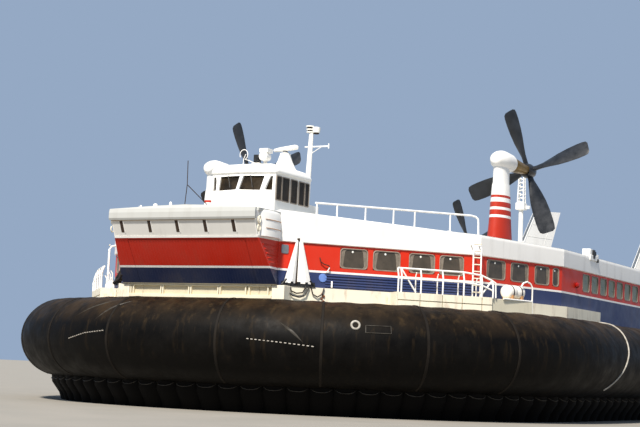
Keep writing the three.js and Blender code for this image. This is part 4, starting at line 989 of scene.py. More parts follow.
# Section of the white panel over the red band and of the roof's rounded edge: distance out, height over the
# roof and share of the lift at the bow. The first two points stand at the red band instead.
FASCIA_SECTION = [(-0.01, 0.0, 0), (0.07, 0.03, 0), (0.08, -0.14, 0.7), (0.076, -0.04, 0.9),
                  (0.05, 0.005, 1), (-0.1, 0.012, 1), (-0.6, 0.01, 0.7), (-1.1, 0.004, 0), (-1.1, -0.02, 0),
                  (-0.02, -0.03, 0)]
FASCIA_STEPS = 12
ROOF_EDGE_LIFT = 0.1
LIFT_LENGTH = 7.2
LOUVRE_Z = [COAMING_TOP_Z + 0.08 + 0.11 * i for i in range(5)]
LOUVRE_ALONG = (2.05, 8.85)
LOUVRE_SECTION = ((-0.005, 0), (0.035, 0), (0.035, 0.02), (-0.005, 0.07))
CAP_PROFILE = [(0, 0.17), (0.03, 0.17), (0.035, 0.13)]
SIDE_LAMP_PROFILE = [(0, 0.1), (0.05, 0.13), (0.12, 0.13), (0.19, 0.06)]


def roof_fascia(side, sign):
    fascia = Form()
    for wall, (start, end) in WALLS.items():
        length = (Vector(end) - Vector(start)).length
        rings = []
        for step in range(FASCIA_STEPS + 1):
            along = -0.02 + (length + 0.04) * step / FASCIA_STEPS
            lift = ROOF_EDGE_LIFT * max(0.0, 1 - along / LIFT_LENGTH) if wall == "flare" else 0.0
            ring = []
            for i, (out, up, share) in enumerate(FASCIA_SECTION):
                point = on_wall(wall, sign, along, out, 0)
                base = RED_TOP_Z if i < 2 else roof_top(point.y)
                ring.append((point.x, point.y, base + up + lift * share))
            rings.append(ring)
        fascia.loft(rings)
    fascia.piece(f"roof_fascia_{side}", enamel_white, smooth=40)


def wall_fittings(side, sign):
    louvres, vent = Form(), Form()
    for z in LOUVRE_Z:
        louvres.loft([[on_wall("flare", sign, along, out, z + up) for out, up in LOUVRE_SECTION]
                      for along in LOUVRE_ALONG])
    louvres.piece(f"blue_louvres_{side}", enamel_bands, smooth=0)
    cap = Form().turned(CAP_PROFILE, on_wall("flare", sign, 1.94, 0, 5.53), out_from("flare", sign))
    cap.piece(f"filler_cap_{side}", pale_blue)
    outline = rounded((0.12, 6.42), (0.42, 6.78), 0.05)
    vent.plate([on_wall("flare", sign, u, 0, z) for u, z in outline], out_from("flare", sign, 0.03))
    vent.piece(f"flare_vent_{side}", bare_aluminium)
    lamp = Form().turned(SIDE_LAMP_PROFILE, on_wall("side", sign, 1.9, 0, 6.2), out_from("side", sign), 16)
    lamp.piece(f"side_lamp_{side}", red_lamp if side == "port" else lamp_glass)


on_both_sides(roof_fascia, wall_fittings)


# Twin posts on the flare, with their hoses, a spring aerial and shackles

TWIN_POSTS = [
    # along the flare at the foot, then at the top
    ((0.24, 0.72), (0.71, 0.79)),
    ((0.8, 1.4), (0.82, 0.97)),
]
POST_FOOT_Z = 5.22
POST_TOP_Z = 6.97
# A dark strip that fills the gap between the two posts: painted shade
HINGE_SHADE_ENDS = ((0.71, 0.81, POST_FOOT_Z), (0.78, 0.83, POST_TOP_Z))
BRACKET_LUGS = (0.16, 0.5, 0.8, 1.12, 1.42)
# Tubes on the flare: radius, then the points' distance along, distance out and height
BRACKET_TUBES = [
    (0.04, [(0.1, 0.3, 5.16), (0.3, 0.3, 5.38)]),
    (0.04, [(1.3, 0.3, 5.36), (1.52, 0.3, 5.14)]),
    (0.03, [(0.1, 0.32, 5.14), (1.52, 0.32, 5.12)]),
]
FLARE_TUBES = {
    "post_hoses": (rubber_hose, [
        (0.028, [(0.3, 0.36, 5.12), (0.36, 0.38, 4.86), (0.55, 0.39, 4.72), (0.85, 0.4, 4.67),
                 (1.1, 0.39, 4.78), (1.24, 0.36, 5.1)]),
        (0.028, [(0.42, 0.35, 5.12), (0.5, 0.37, 4.9), (0.72, 0.38, 4.82), (0.98, 0.38, 4.86),
                 (1.12, 0.35, 5.12)]),
        (0.028, [(1.34, 0.34, 5.1), (1.42, 0.36, 4.82), (1.62, 0.37, 4.72), (1.82, 0.37, 4.84),
                 (1.9, 0.34, 5.08)]),
    ]),
    "spring_aerial": (dark_brown_and_shade, [
        (0.022, [(1.77, 0.05, 6.35), (1.8, 0.08, 6.18), (1.95, 0.1, 6.08), (2.15, 0.1, 6.04),
                 (2.19, 0.1, 5.96)]),
    ]),
    "aerial_lead": (enamel_white, [
        (0.024, [(2.19, 0.1, 5.96), (2.14, 0.08, 5.84), (2.05, 0.02, 5.74)]),
        (0.035, [(2.33, 0.05, 5.4), (2.28, 0.2, 5.15)]),
    ]),
}
# Along the flare, height and radius
SHACKLES = ((1.84, 4.86, 0.05), (1.9, 4.76, 0.06), (1.82, 4.66, 0.05), (1.9, 4.56, 0.05))


def twin_posts(side, sign):
    blades, gap, bracket = Form(), Form(), Form()
    for (foot_from, foot_to), (top_from, top_to) in TWIN_POSTS:
        rings = []
        for share in (0.0, 0.5, 1.0):
            low = foot_from + (top_from - foot_from) * share
            high = foot_to + (top_to - foot_to) * share
            crease = low + (high - low) * 0.62
            z = POST_FOOT_Z + (POST_TOP_Z - POST_FOOT_Z) * share
            section = ((low, 0.08), (high, 0.08), (high, 0.16), (crease, 0.24 - 0.05 * share), (low, 0.17))
            rings.append([on_wall("flare", sign, a, o, z) for a, o in section])
        blades.loft(rings)
    blades.piece(f"twin_posts_{side}", enamel_cabin, smooth=0, bevel=0.01, replaces=[f"bow_posts_{side}"])
    # The hinge strip between the posts, dark brown as painted shade in the gap
    rings = []
    for low, high, z in HINGE_SHADE_ENDS:
        section = ((low, 0.07), (high, 0.07), (high, 0.15), (low, 0.15))
        rings.append([on_wall("flare", sign, a, o, z) for a, o in section])
    gap.loft(rings)
    wall_block(gap, "flare", sign, (0.75, 0.84), (0.08, 0.2), (POST_TOP_Z - 0.01, POST_TOP_Z + 0.09))
    gap.piece(f"post_hinge_shade_{side}", dark_brown_and_shade, smooth=0, bevel=0.01)
    ledge = COAMING_TOP_Z + 0.02
    lug_z = (ledge + 0.04, POST_FOOT_Z + 0.07)
    wall_block(bracket, "flare", sign, (0.14, 1.5), (0.02, 0.3), (ledge, ledge + 0.05))
    for along in BRACKET_LUGS:
        wall_block(bracket, "flare", sign, (along, along + 0.1), (0.05, 0.29), lug_z)
    for radius, route in BRACKET_TUBES:
        wall_tube(bracket, "flare", sign, route, radius)
    bracket.piece(f"post_bracket_{side}", black_fitting, smooth=40)


def flare_tubes(side, sign):
    for name, (material, rows) in FLARE_TUBES.items():
        tubes = Form()
        for radius, route in rows:
            wall_tube(tubes, "flare", sign, route, radius)
        tubes.piece(f"{name}_{side}", material, smooth=60)
    shackles = Form()
    for along, z, size in SHACKLES:
        shackles.turned([(0, size * 0.5), (0.03, size), (0.06, size * 0.5)],
                        on_wall("flare", sign, along, 0.3, z), out_from("flare", sign), 10)
    shackles.piece(f"coaming_shackles_{side}", rusty_iron, smooth=60)


# Side gangways, their rails and ladder, and the life raft

GANGWAY_START = 4.8
GANGWAY_END = 2.5
GANGWAY_OUT = 1.03
GANGWAY_CORNER = (18.7, 10.37)
GANGWAY_JOINTS = [GANGWAY_START, 5.85, 6.85, 7.75, 8.65, 9.13]
GANGWAY_SEAM_Z = 4.78
SHEET_ROWS = ((DECK_Z + 0.02, GANGWAY_SEAM_Z - 0.02), (GANGWAY_SEAM_Z + 0.02, COAMING_TOP_Z))
RAIL_OUT = 0.9
RAIL_FOOT_Z = COAMING_TOP_Z - 0.03
# Along the flare, and height of the top
STANCHIONS = [(4.87, 6.08), (5.01, 6.08), (5.88, 6.08), (6.86, 6.08), (7.81, 6.08), (8.64, 6.0),
              (9.15, 5.8)]
# The shorter inner posts stand between the second stanchion and this distance along the flare
INNER_POSTS_END = 9
COAMING_OUT = 0.32
# Wall, radius, then the points' distance along, distance out and height
RAIL_BRACES = [
    ("flare", 0.036, [(5.02, RAIL_OUT + 0.04, 6.04), (5.66, GANGWAY_OUT - 0.05, 5.12)]),
    ("flare", 0.036, [(9.1, RAIL_OUT, 5.76), (8.6, GANGWAY_OUT - 0.1, 5.12)]),
    ("flare", 0.034, [(9.15, RAIL_OUT, 5.8), (9.3, RAIL_OUT, 5.72), (9.33, RAIL_OUT, 5.1)]),
    ("shoulder", 0.036, [(0.45, 1.0, 5.1), (2.46, 0.98, 5.1)]),
    ("shoulder", 0.036, [(2.46, 0.98, 4.5), (2.46, 0.98, 5.7), (2.34, 0.96, 5.86), (2.12, 0.94, 5.93),
                         (1.9, 0.92, 5.86), (1.78, 0.9, 5.7)]),
]
LADDER_ALONG = (8.5, 8.86)
LADDER_OUT = 0.36
LADDER_TOP_Z = 7.3
RUNG_Z = [COAMING_TOP_Z + 0.22 + 0.29 * i for i in range(8)]
CANISTER_ALONG = (1.04, 2.14)
CANISTER_OUT = 0.6
CANISTER_Z = 5.44
CANISTER_RADIUS = 0.3
# Distance from the canister's end, and radius
CANISTER_END = [(0, 0.12), (0.01, 0.22), (0.05, 0.28), (0.1, CANISTER_RADIUS)]
STRAP_PLACES = (0.24, 0.8)
CRADLE_PLACES = (1.2, 1.84)


def gangway_panels(side, sign):
    """The platform's deck, and its face in two rows of separate sheets."""
    panels, deck = Form(), Form()
    thick = (GANGWAY_OUT - 0.06, GANGWAY_OUT)
    for first, last in zip(GANGWAY_JOINTS, GANGWAY_JOINTS[1:]):
        for row in SHEET_ROWS:
            wall_block(panels, "flare", sign, (first + 0.02, last - 0.02), thick, row)
    wall_block(panels, "flare", sign, (GANGWAY_START, GANGWAY_START + 0.05), (COAMING_OUT, GANGWAY_OUT),
               (DECK_Z + 0.02, COAMING_TOP_Z))
    panels.piece(f"gangway_panels_{side}", enamel_coaming, smooth=0, bevel=0.008,
                 replaces=[f"side_gangway_{side}"])
    near = [on_wall("flare", sign, GANGWAY_START + 0.06, out, 0)
            for out in (COAMING_OUT, GANGWAY_OUT - 0.07)]
    corner = Vector((GANGWAY_CORNER[0], GANGWAY_CORNER[1] * sign, 0))
    inner_corner = corner + (on_wall("flare", sign, 0, 0, 0) - on_wall("flare", sign, 0, 0.1, 0))
    far = [on_wall("shoulder", sign, along, out, 0) for along, out in
           ((GANGWAY_END, GANGWAY_OUT - 0.02), (GANGWAY_END, COAMING_OUT), (0.05, COAMING_OUT))]
    outline = near + [inner_corner] + far
    deck.loft([[(p.x, p.y, z) for p in outline] for z in (DECK_Z + 0.03, COAMING_TOP_Z - 0.02)])
    deck.piece(f"gangway_deck_{side}", enamel_foot, smooth=0, bevel=0.01)


def gangway_rails(side, sign):
    rails = Form()
    for along, top in STANCHIONS:
        outer = [(along, GANGWAY_OUT - 0.04, RAIL_FOOT_Z), (along, GANGWAY_OUT - 0.03, top - 0.3),
                 (along, RAIL_OUT, top)]
        wall_tube(rails, "flare", sign, outer, 0.036)
        if STANCHIONS[1][0] < along < INNER_POSTS_END:
            inner = [(along, 0.42, RAIL_FOOT_Z), (along, 0.42, top - 0.25), (along, 0.5, top - 0.12)]
            wall_tube(rails, "flare", sign, inner, 0.028)
    for drop, out, radius in ((0.0, RAIL_OUT, 0.04), (0.42, RAIL_OUT + 0.08, 0.034)):
        wall_tube(rails, "flare", sign, [(along, out, top - drop) for along, top in STANCHIONS], radius)
    for wall, radius, route in RAIL_BRACES:
        wall_tube(rails, wall, sign, route, radius)
    rails.piece(f"gangway_rails_{side}", enamel_cabin, smooth=60)


def ladder(side, sign):
    stiles, rungs = Form(), Form()
    for along in LADDER_ALONG:
        wall_tube(stiles, "flare", sign, [
            (along, LADDER_OUT, RAIL_FOOT_Z), (along, LADDER_OUT, LADDER_TOP_Z - 0.15),
            (along, LADDER_OUT - 0.1, LADDER_TOP_Z), (along, 0.02, LADDER_TOP_Z + 0.05)], 0.034)
    stiles.piece(f"ladder_stiles_{side}", enamel_cabin, smooth=60)
    for z in RUNG_Z:
        wall_tube(rungs, "flare", sign, [(along, LADDER_OUT, z) for along in LADDER_ALONG], 0.026)
    rungs.piece(f"ladder_rungs_{side}", enamel_coaming, smooth=60)


def raft_canister(side, sign):
    shell, bands, cradle = Form(), Form(), Form()
    start, end = (on_wall("shoulder", sign, a, CANISTER_OUT, CANISTER_Z) for a in CANISTER_ALONG)
    way, length = (end - start).normalized(), (end - start).length
    radius = CANISTER_RADIUS
    waist = [(length / 2 - 0.02, radius), (length / 2, radius - 0.012), (length / 2 + 0.02, radius)]
    far_end = [(length - along, size) for along, size in CANISTER_END[::-1]]
    shell.turned(CANISTER_END + waist + far_end, start, way, 32)
    shell.piece(f"raft_canister_{side}", enamel_canister, smooth=50)
    for at in STRAP_PLACES:
        bands.turned([(at, 0.29), (at, radius + 0.01), (at + 0.06, radius + 0.01), (at + 0.06, 0.29)],
                     start, way, 32)
    bands.piece(f"raft_straps_{side}", rubber_hose, smooth=30)
    for at in CRADLE_PLACES:
        wall_block(cradle, "shoulder", sign, (at, at + 0.12), (CANISTER_OUT - 0.26, CANISTER_OUT + 0.3),
                   (5.08, 5.3))
    cradle.piece(f"raft_cradle_{side}", rusty_edge, smooth=0, bevel=0.01)


on_both_sides(twin_posts, flare_tubes, gangway_panels, gangway_rails, ladder, raft_canister)


# Control cabin: dark side panes, rounded roof, pedestal, radar, searchlight and aerials

CABIN_SIDE_Y = 1.6
CABIN_PANES = [(21.66, 22.08), (20.99, 21.58), (20.27, 20.83), (19.64, 20.11), (19.22, 19.55)]
CABIN_PANE_Z = (8.97, 9.98)
CABIN_PLAN = [(22.31, 0), (22.2, 1.25), (22.13, 1.6), (19.1, 1.6), (19.1, -1.6), (22.13, -1.6),
              (22.2, -1.25)]
CABIN_ROOF_Z = 10.1
# Height over the walls, and how far the roof draws in there
CABIN_ROOF_SECTION = [(-0.02, 0.02), (0.0, -0.05), (0.05, -0.085), (0.12, -0.08), (0.22, -0.035),
                      (0.31, 0.05), (0.38, 0.17), (0.44, 0.34), (0.49, 0.58)]
CABIN_CORNER = 0.16
RADAR_PLACE = (19.55, 0.52, 0)
PEDESTAL = [(10.35, 0.72), (10.5, 0.6), (10.7, 0.48), (11.0, 0.33), (11.25, 0.25), (11.33, 0.24),
            (11.36, 0.2)]
RADAR_NECK = [(11.37, 0.1), (11.4, 0.12), (11.44, 0.12)]
RADAR_BAR_Z = 11.56
RADAR_REST_TURN = -25
# Along the bar, half depth, and the section's low and high edges
RADAR_BAR = ((-0.88, 0.05, -0.03, 0.05), (-0.8, 0.09, -0.07, 0.07), (-0.4, 0.12, -0.09, 0.09),
             (0.4, 0.13, -0.1, 0.1), (0.8, 0.12, -0.1, 0.1), (0.88, 0.07, -0.06, 0.07))
SEARCHLIGHT = (21.4, 0.6, 10.94)
DRUM_PROFILE = [(-0.24, 0.1), (-0.22, 0.17), (-0.12, 0.2), (0.16, 0.21), (0.24, 0.2), (0.25, 0.15)]
WIPER_Y = (0.62, -0.5)


def inset_plan(plan, inset):
    """A plan shape drawn in by a distance, with its corners rounded."""
    moved = []
    count = len(plan)
    for i in range(count):
        before, here, after = (Vector(plan[k % count]) for k in (i - 1, i, i + 1))
        first, second = (here - before).normalized(), (after - here).normalized()
        normals = [Vector((-d.y, d.x)) for d in (first, second)]
        middle = (normals[0] + normals[1]) / 2
        moved.append(here + middle * (inset / middle.length_squared))
    points = []
    for i in range(count):
        before, here, after = moved[i - 1], moved[i], moved[(i + 1) % count]
        start, end = (here + (other - here).normalized() * min(CABIN_CORNER, (other - here).length * 0.4)
                      for other in (before, after))
        for t in (0, 0.25, 0.5, 0.75, 1):
            points.append(start * (1 - t) ** 2 + here * 2 * t * (1 - t) + end * t ** 2)
    return points


def cabin_roof():
    roof = Form()
    roof.loft([[(p.x, p.y, CABIN_ROOF_Z + up) for p in inset_plan(CABIN_PLAN, inset)]
               for up, inset in CABIN_ROOF_SECTION])
    roof.turned(PEDESTAL, RADAR_PLACE, UP, 32)
    roof.piece("cabin_roof_shell", enamel_cabin, smooth=50, replaces=["cabin_roof"])


def cabin_sides():
    panes, frames = Form(), Form()
    low, high = CABIN_PANE_Z
    for sign in SIDES.values():
        def place(x, out, z):
            return (x, sign * (CABIN_SIDE_Y + out), z)
        for x0, x1 in CABIN_PANES:
            outline = rounded((x0, low), (x1, high), 0.05, 3)
            panes.plate([(x, sign * (CABIN_SIDE_Y + 0.004), z) for x, z in outline], (0, sign * 0.02, 0))
            outer = rounded((x0 - 0.03, low - 0.03), (x1 + 0.03, high + 0.03), 0.07, 3)
            inner = rounded((x0 + 0.01, low + 0.01), (x1 - 0.01, high - 0.01), 0.05, 3)
            window_ring(frames, place, outer, inner, (0.0, 0.034))
    panes.piece("cabin_side_panes", cabin_pane)
    frames.piece("cabin_side_frames", frame_rubber)


def cabin_fittings():
    vents, wipers = Form(), Form()
    vents.block((19.4, -0.9, 10.45), (20.4, -0.3, 10.72))
    vents.block((20.9, -1.2, 10.42), (21.2, -0.9, 10.66))
    vents.piece("cabin_roof_vents", enamel_panel, smooth=0, bevel=0.04)
    for y in WIPER_Y:
        wipers.tube([(22.62, y, 9.98), (22.74, y + 0.16, 9.6), (22.79, y + 0.22, 9.42)], 0.014, 6)
    wipers.piece("cabin_wipers", black_fitting, smooth=60)


def searchlight():
    mount, drum, gear = Form(), Form(), Form()
    mount.tube([(21.4, 0.6, 10.45), (21.4, 0.6, 10.78)], 0.09, 12)
    mount.block((21.2, 0.02, 10.58), (21.6, 0.42, 10.66))
    mount.piece("searchlight_mount", enamel_panel, smooth=30, bevel=0.01)
    drum.turned(DRUM_PROFILE, SEARCHLIGHT, AHEAD, 28)
    drum.block((21.16, 0.4, 11.1), (21.62, 0.82, 11.28))
    drum.piece("searchlight_drum", enamel_cabin, smooth=35, bevel=0.01)
    gear.block((21.3, 0.1, 10.66), (21.58, 0.33, 11.02))
    gear.tube([(21.44, 0.2, 10.9), (21.44, 0.45, 10.9)], 0.05, 10)
    gear.piece("searchlight_gear", black_fitting, smooth=30, bevel=0.02)


def loop_aerial():
    wire = Form()
    loop = [(21.9, -0.2 + 0.2 * math.sin(a), 10.98 + 0.22 * math.cos(a))
            for a in (math.pi * k / 9 for k in range(-6, 9))]
    wire.tube(loop + [(21.9, 0.05, 10.72), (21.9, 0.3, 10.62), (21.9, 0.45, 10.56)], 0.018, 6)
    wire.tube([(21.9, -0.22, 10.5), (21.9, -0.2, 10.8), (21.9, -0.1, 11.0)], 0.018, 6)
    wire.piece("loop_aerial", enamel_white, smooth=60)


def radar_bar():
    bar = Form()
    turn = Matrix.Rotation(math.radians(RADAR_REST_TURN), 3, "Z")
    centre = Vector((RADAR_PLACE[0], RADAR_PLACE[1], RADAR_BAR_Z))
    rings = []
    for along, deep, low, high in RADAR_BAR:
        lower = [(-deep, low * 0.6), (-deep * 0.6, low), (deep * 0.6, low), (deep, low * 0.6)]
        upper = [(deep, high * 0.6), (deep * 0.6, high), (-deep * 0.6, high), (-deep, high * 0.6)]
        rings.append([centre + turn @ Vector((x, along, z)) for x, z in lower + upper])
    bar.loft(rings)
    bar.piece("radar_bar", enamel_cabin, "radar", smooth=40, replaces=["radar_scanner"])
    neck = Form().turned(RADAR_NECK, RADAR_PLACE, UP, 20)
    neck.piece("radar_neck", bare_aluminium, "radar")


# Masts and aerials

MAST_DISCS = ((12.5, 0.16), (12.62, 0.17), (12.76, 0.2))
DISC_PLACE = (18.12, 0.93, 0)
DRUM_PLACE = (18.08, 1.24, 0)
TALL_MAST = (0.6, 4.5)
MAST_HEAD_Z = 11.28
LATTICE_RISE = 1.6
LATTICE_CORNERS = [(1, 1), (1, -1), (-1, -1), (-1, 1)]
LATTICE_LEVELS = [11.36 + 0.21 * i for i in range(8)]
FORK = (25.9, -0.4, 9.15)
AERIAL_FEET = [(25.9, -0.48, 0), (25.3, 0.42, 0)]


def signal_mast():
    mast, lamps, dark = Form(), Form(), Form()
    mast.block((17.65, 0.72, roof_top(1.28) - 0.02), (18.55, 1.28, 9.15))
    mast.tube([(18.3, 1.0, 9.1), (18.1, 1.0, 12.5)], 0.15, 16, end_radius=0.1)
    mast.tube([(18.14, 0.72, 11.85), (18.14, 1.96, 11.85)], 0.035, 8)
    mast.tube([(18.14, 1.94, 11.75), (18.14, 1.94, 11.97)], 0.03, 8)
    mast.tube([(18.16, 1.0, 11.5), (18.14, 1.6, 11.85)], 0.018, 6)
    mast.piece("signal_mast_tube", enamel_cabin, smooth=40, replaces=["signal_mast"])
    for z, half in MAST_DISCS:
        disc = [(z, half * 0.9), (z + 0.01, half), (z + 0.05, half), (z + 0.06, half * 0.9)]
        lamps.turned(disc, DISC_PLACE, UP)
    lamps.turned([(12.48, 0.1), (12.5, 0.17), (12.72, 0.19), (12.76, 0.12)], DRUM_PLACE, UP)
    lamps.piece("mast_lamps", lamp_glass, smooth=40)
    dark.turned([(12.55, 0.11), (12.76, 0.13)], DISC_PLACE, UP)
    dark.turned([(12.44, 0.12), (12.49, 0.14)], DRUM_PLACE, UP)
    dark.piece("mast_lamp_bodies", dark_brown_and_shade, smooth=40)


def tall_mast():
    mast, lattice = Form(), Form()
    x, y = TALL_MAST
    mast.tube([(x, y, roof_top(y) - 0.03), (x, y, 11.0)], 0.125, 16)
    mast.block((0.36, 4.26, 10.93), (0.84, 4.74, 11.3))
    mast.block((0.3, 4.62, 11.0), (0.5, 4.92, 11.16))
    mast.piece("tall_mast_tube", enamel_cabin, smooth=40, bevel=0.01, replaces=["tall_mast"])
    for dx, dy in LATTICE_CORNERS:
        top = (x + 0.1 * dx, y + 0.13 * dy, MAST_HEAD_Z + LATTICE_RISE)
        lattice.tube([(x + 0.15 * dx, y + 0.17 * dy, MAST_HEAD_Z), top], 0.035, 6)
    for i, z in enumerate(LATTICE_LEVELS):
        spread = 1 - 0.28 * (z - MAST_HEAD_Z) / LATTICE_RISE
        for (ax, ay), (bx, by) in zip(LATTICE_CORNERS, LATTICE_CORNERS[1:] + LATTICE_CORNERS[:1]):
            rise = 0.1 if (i + ax) % 2 else -0.1
            lattice.tube([(x + 0.15 * ax * spread, y + 0.17 * ay * spread, z - rise / 2),
                          (x + 0.15 * bx * spread, y + 0.17 * by * spread, z + rise / 2)], 0.026, 6)
    lattice.piece("tall_mast_lattice", enamel_cabin, smooth=40)
    strut = Form().tube([(x, y, 9.5), (0.3, 5.1, roof_top(5.1) + 0.01)], 0.03, 8)
    strut.piece("tall_mast_strut", enamel_cabin, smooth=60)


def bow_aerials():
    wires, feet = Form(), Form()
    wires.tube([(25.9, -0.42, 10.15), FORK], 0.018, 6)
    for end in ((25.9, -0.48, 8.24), (25.3, 0.42, 8.22)):
        wires.tube([FORK, end], 0.018, 6)
    wires.piece("bow_whip_aerial", dark_brown_and_shade, smooth=60)
    for place in AERIAL_FEET:
        feet.turned([(8.2, 0.06), (8.3, 0.05), (8.34, 0.02)], place, UP, 12)
    feet.turned([(8.2, 0.07), (8.34, 0.06), (8.4, 0.03)], (26.3, -0.9, 0), UP, 12)
    feet.piece("aerial_feet", enamel_white, smooth=40)


cabin_roof()
cabin_sides()
cabin_fittings()
searchlight()
loop_aerial()
radar_bar()
signal_mast()
tall_mast()
bow_aerials()


# Roof rails over the flare, with the aft end bent down to the roof

RAIL_ENDS = ((23.75, 4.15), (18.25, 9.1))
RAIL_POSTS = [0.05, 0.17, 0.34, 0.51, 0.64, 0.86]
RAIL_TOP_Z = 8.6
# Share of the way along, and how far the bent end has dropped there
RAIL_BEND = [(0.04, 0), (0.99, 0), (1.02, 0.04), (1.035, 0.13), (1.038, 0.3)]


def roof_rail(side, sign):
    rail = Form()
    (x0, y0), (x1, y1) = RAIL_ENDS

    def at(part, z=None):
        x, y = x0 + (x1 - x0) * part, y0 + (y1 - y0) * part
        return (x, sign * y, roof_top(y) - 0.01 if z is None else z)
    for part in RAIL_POSTS:
        rail.tube([at(part), at(part, RAIL_TOP_Z)], 0.035, 8)
    rail.tube([at(part, RAIL_TOP_Z - drop) for part, drop in RAIL_BEND] + [at(1.04)], 0.042, 10)
    rail.piece(f"roof_rail_tubes_{side}", enamel_cabin, smooth=60, replaces=[f"roof_rail_{side}"])


on_both_sides(roof_rail)


# Stern: soot-dark exhaust rims, door ribs and lamps, and the fins' seams

FIN_Y = 4.4
FIN_POST_X = -24.8
FIN_REST_TURN = -20
FIN_SKIN = 0.152
FIN_LOW_Z = 8.55
FIN_HEIGHT = 5.35
# Forward of the post, at the fin's foot and at its tip
FIN_FRONT = (2.68, -0.3)
FIN_BACK = (-0.94, -2.97)
FIN_RIBS = [9.3, 10.2, 11.1, 12.0, 12.9]
# Share of the chord behind the leading edge, and distance from the fin's middle plane
FIN_EDGE = ((-0.012, 0.09), (0.03, 0.156), (0.03, -0.156), (-0.012, -0.09))
STERN_DOOR_RIBS = [-4.2, -3.0, -1.8, -0.6, 0.6, 1.8, 3.0, 4.2]
EXHAUST_Y = (7.3, 9.2)
EXHAUST_Z = 6.3
EXHAUST_END_X = -25.75
EXHAUST_RIM = [(0.0, 0.44), (0.02, 0.515), (0.1, 0.518), (0.12, 0.505)]


def stern_fittings():
    rims, ribs, lamps = Form(), Form(), Form()
    for sign in SIDES.values():
        for y in EXHAUST_Y:
            rims.turned(EXHAUST_RIM, (EXHAUST_END_X - 0.004, sign * y, EXHAUST_Z), AHEAD, 32)
        lamps.turned(LAMP_DOME, (STERN_X - 0.02, sign * 5.6, 7.2), (-1, 0, 0), 16)
    rims.piece("exhaust_rims", dark_brown_and_shade, smooth=40)
    lamps.piece("stern_lamps", red_lamp, smooth=40)
    for y in STERN_DOOR_RIBS:
        ribs.block((STERN_X - 0.05, y - 0.05, 5.0), (STERN_X + 0.005, y + 0.05, STERN_DOOR_TOP_Z - 0.3))
    for z in (5.0, 7.3):
        ribs.block((STERN_X - 0.06, -4.4, z), (STERN_X + 0.005, 4.4, z + 0.1))
    ribs.piece("stern_door_ribs", enamel_white, "stern_ramp", smooth=0, bevel=0.01)


def fin_seams(side, sign):
    """Rib lines on both faces of a fin, and its worn leading edge. The fins stand turned at rest."""
    seams, edge = Form(), Form()
    turn = Matrix.Rotation(math.radians(FIN_REST_TURN), 3, "Z")
    post = Vector((FIN_POST_X, sign * FIN_Y, 0))

    def on_fin(share_back, z, across):
        share = (z - FIN_LOW_Z) / FIN_HEIGHT
        front, back = (ends[0] + (ends[1] - ends[0]) * share for ends in (FIN_FRONT, FIN_BACK))
        return post + turn @ Vector((front + (back - front) * share_back, across, z))
    for face in (FIN_SKIN, -FIN_SKIN):
        for z in FIN_RIBS:
            seams.tube([on_fin(share, z, face) for share in (0.06, 0.5, 0.94)], 0.012, 6)
        seams.tube([on_fin(0.72, z, face) for z in (8.7, 11.2, 13.7)], 0.012, 6)
    seams.piece(f"fin_seams_{side}", enamel_panel, f"fin_{side}", smooth=40)
    edge.loft([[on_fin(share, z, across) for share, across in FIN_EDGE] for z in (8.62, 11.2, 13.8)])
    edge.piece(f"fin_leading_edge_{side}", bare_aluminium, f"fin_{side}", smooth=30)


stern_fittings()
on_both_sides(fin_seams)


# The black bundle in the corner between the front and the starboard flare, built as three rolled covers

BUNDLE_ROUTES = [
    [(25.55, -3.62, 6.05), (25.35, -3.8, 5.75), (25.2, -3.98, 5.45), (25.1, -4.15, 5.12)],
    [(25.4, -3.7, 5.7), (25.15, -4.05, 5.5), (24.9, -4.4, 5.3), (24.7, -4.6, 5.12)],
    [(25.5, -3.66, 5.5), (25.3, -3.9, 5.3), (25.15, -4.2, 5.2), (25.0, -4.45, 5.12)],
]


def cheek_bundle():
    bundle = Form()
    for route in BUNDLE_ROUTES:
        bundle.tube(route, 0.12, 10, end_radius=0.09)
    bundle.piece("mooring_cover_bundle", rubber_hose, smooth=60)


cheek_bundle()


# Roof fittings

ROOF_LAMP_EDGE_Z = roof_top(on_wall("side", 1, 2, 0, 0).y) - 0.1
# Ranges along the side wall, out from it, and over the roof's edge
LAMP_BOXES = [
    ((3.6, 4.8), (-0.5, 0.12), (-0.08, 0.18)), ((3.6, 3.92), (-0.3, 0.1), (0.14, 0.46)),
    ((4.6, 4.9), (-0.2, 0.1), (0.1, 0.26)),
]
LAMP_GEAR = [
    ((4.0, 4.28), (-0.3, 0.14), (0.02, 0.44)), ((4.32, 4.54), (-0.3, 0.1), (0.16, 0.38)),
    ((4.6, 4.8), (-0.1, 0.15), (-0.12, 0.04)),
]
HATCH_X = (14.5, 8.2, 3.0, -2.2, -7.4, -12.6)
HATCH_Y = 3.6
HATCH_HALF = 0.45
HATCH_ROOF_Z = roof_top(3.1)
HATCH_TOP = 0.09
GRIP = ((-0.2, HATCH_TOP), (-0.2, 0.17), (0.2, 0.17), (0.2, HATCH_TOP))


def roof_lamp(side, sign):
    for name, blocks, material in (("box", LAMP_BOXES, enamel_cabin), ("gear", LAMP_GEAR, black_fitting)):
        form = Form()
        for along, out, (low, high) in blocks:
            wall_block(form, "side", sign, along, out, (ROOF_LAMP_EDGE_Z + low, ROOF_LAMP_EDGE_Z + high))
        form.piece(f"roof_lamp_{name}_{side}", material, smooth=30, bevel=0.02)


def roof_hatches(side, sign):
    hatches, grips = Form(), Form()
    y = sign * HATCH_Y
    for x in HATCH_X:
        hatches.block((x - HATCH_HALF, y - HATCH_HALF, HATCH_ROOF_Z - 0.04),
                      (x + HATCH_HALF, y + HATCH_HALF, HATCH_ROOF_Z + HATCH_TOP))
        grips.tube([(x + step, y, HATCH_ROOF_Z + up) for step, up in GRIP], 0.02, 6)
    hatches.piece(f"roof_hatches_{side}", enamel_panel, smooth=0, bevel=0.04)
    grips.piece(f"hatch_grips_{side}", bare_aluminium, smooth=60)


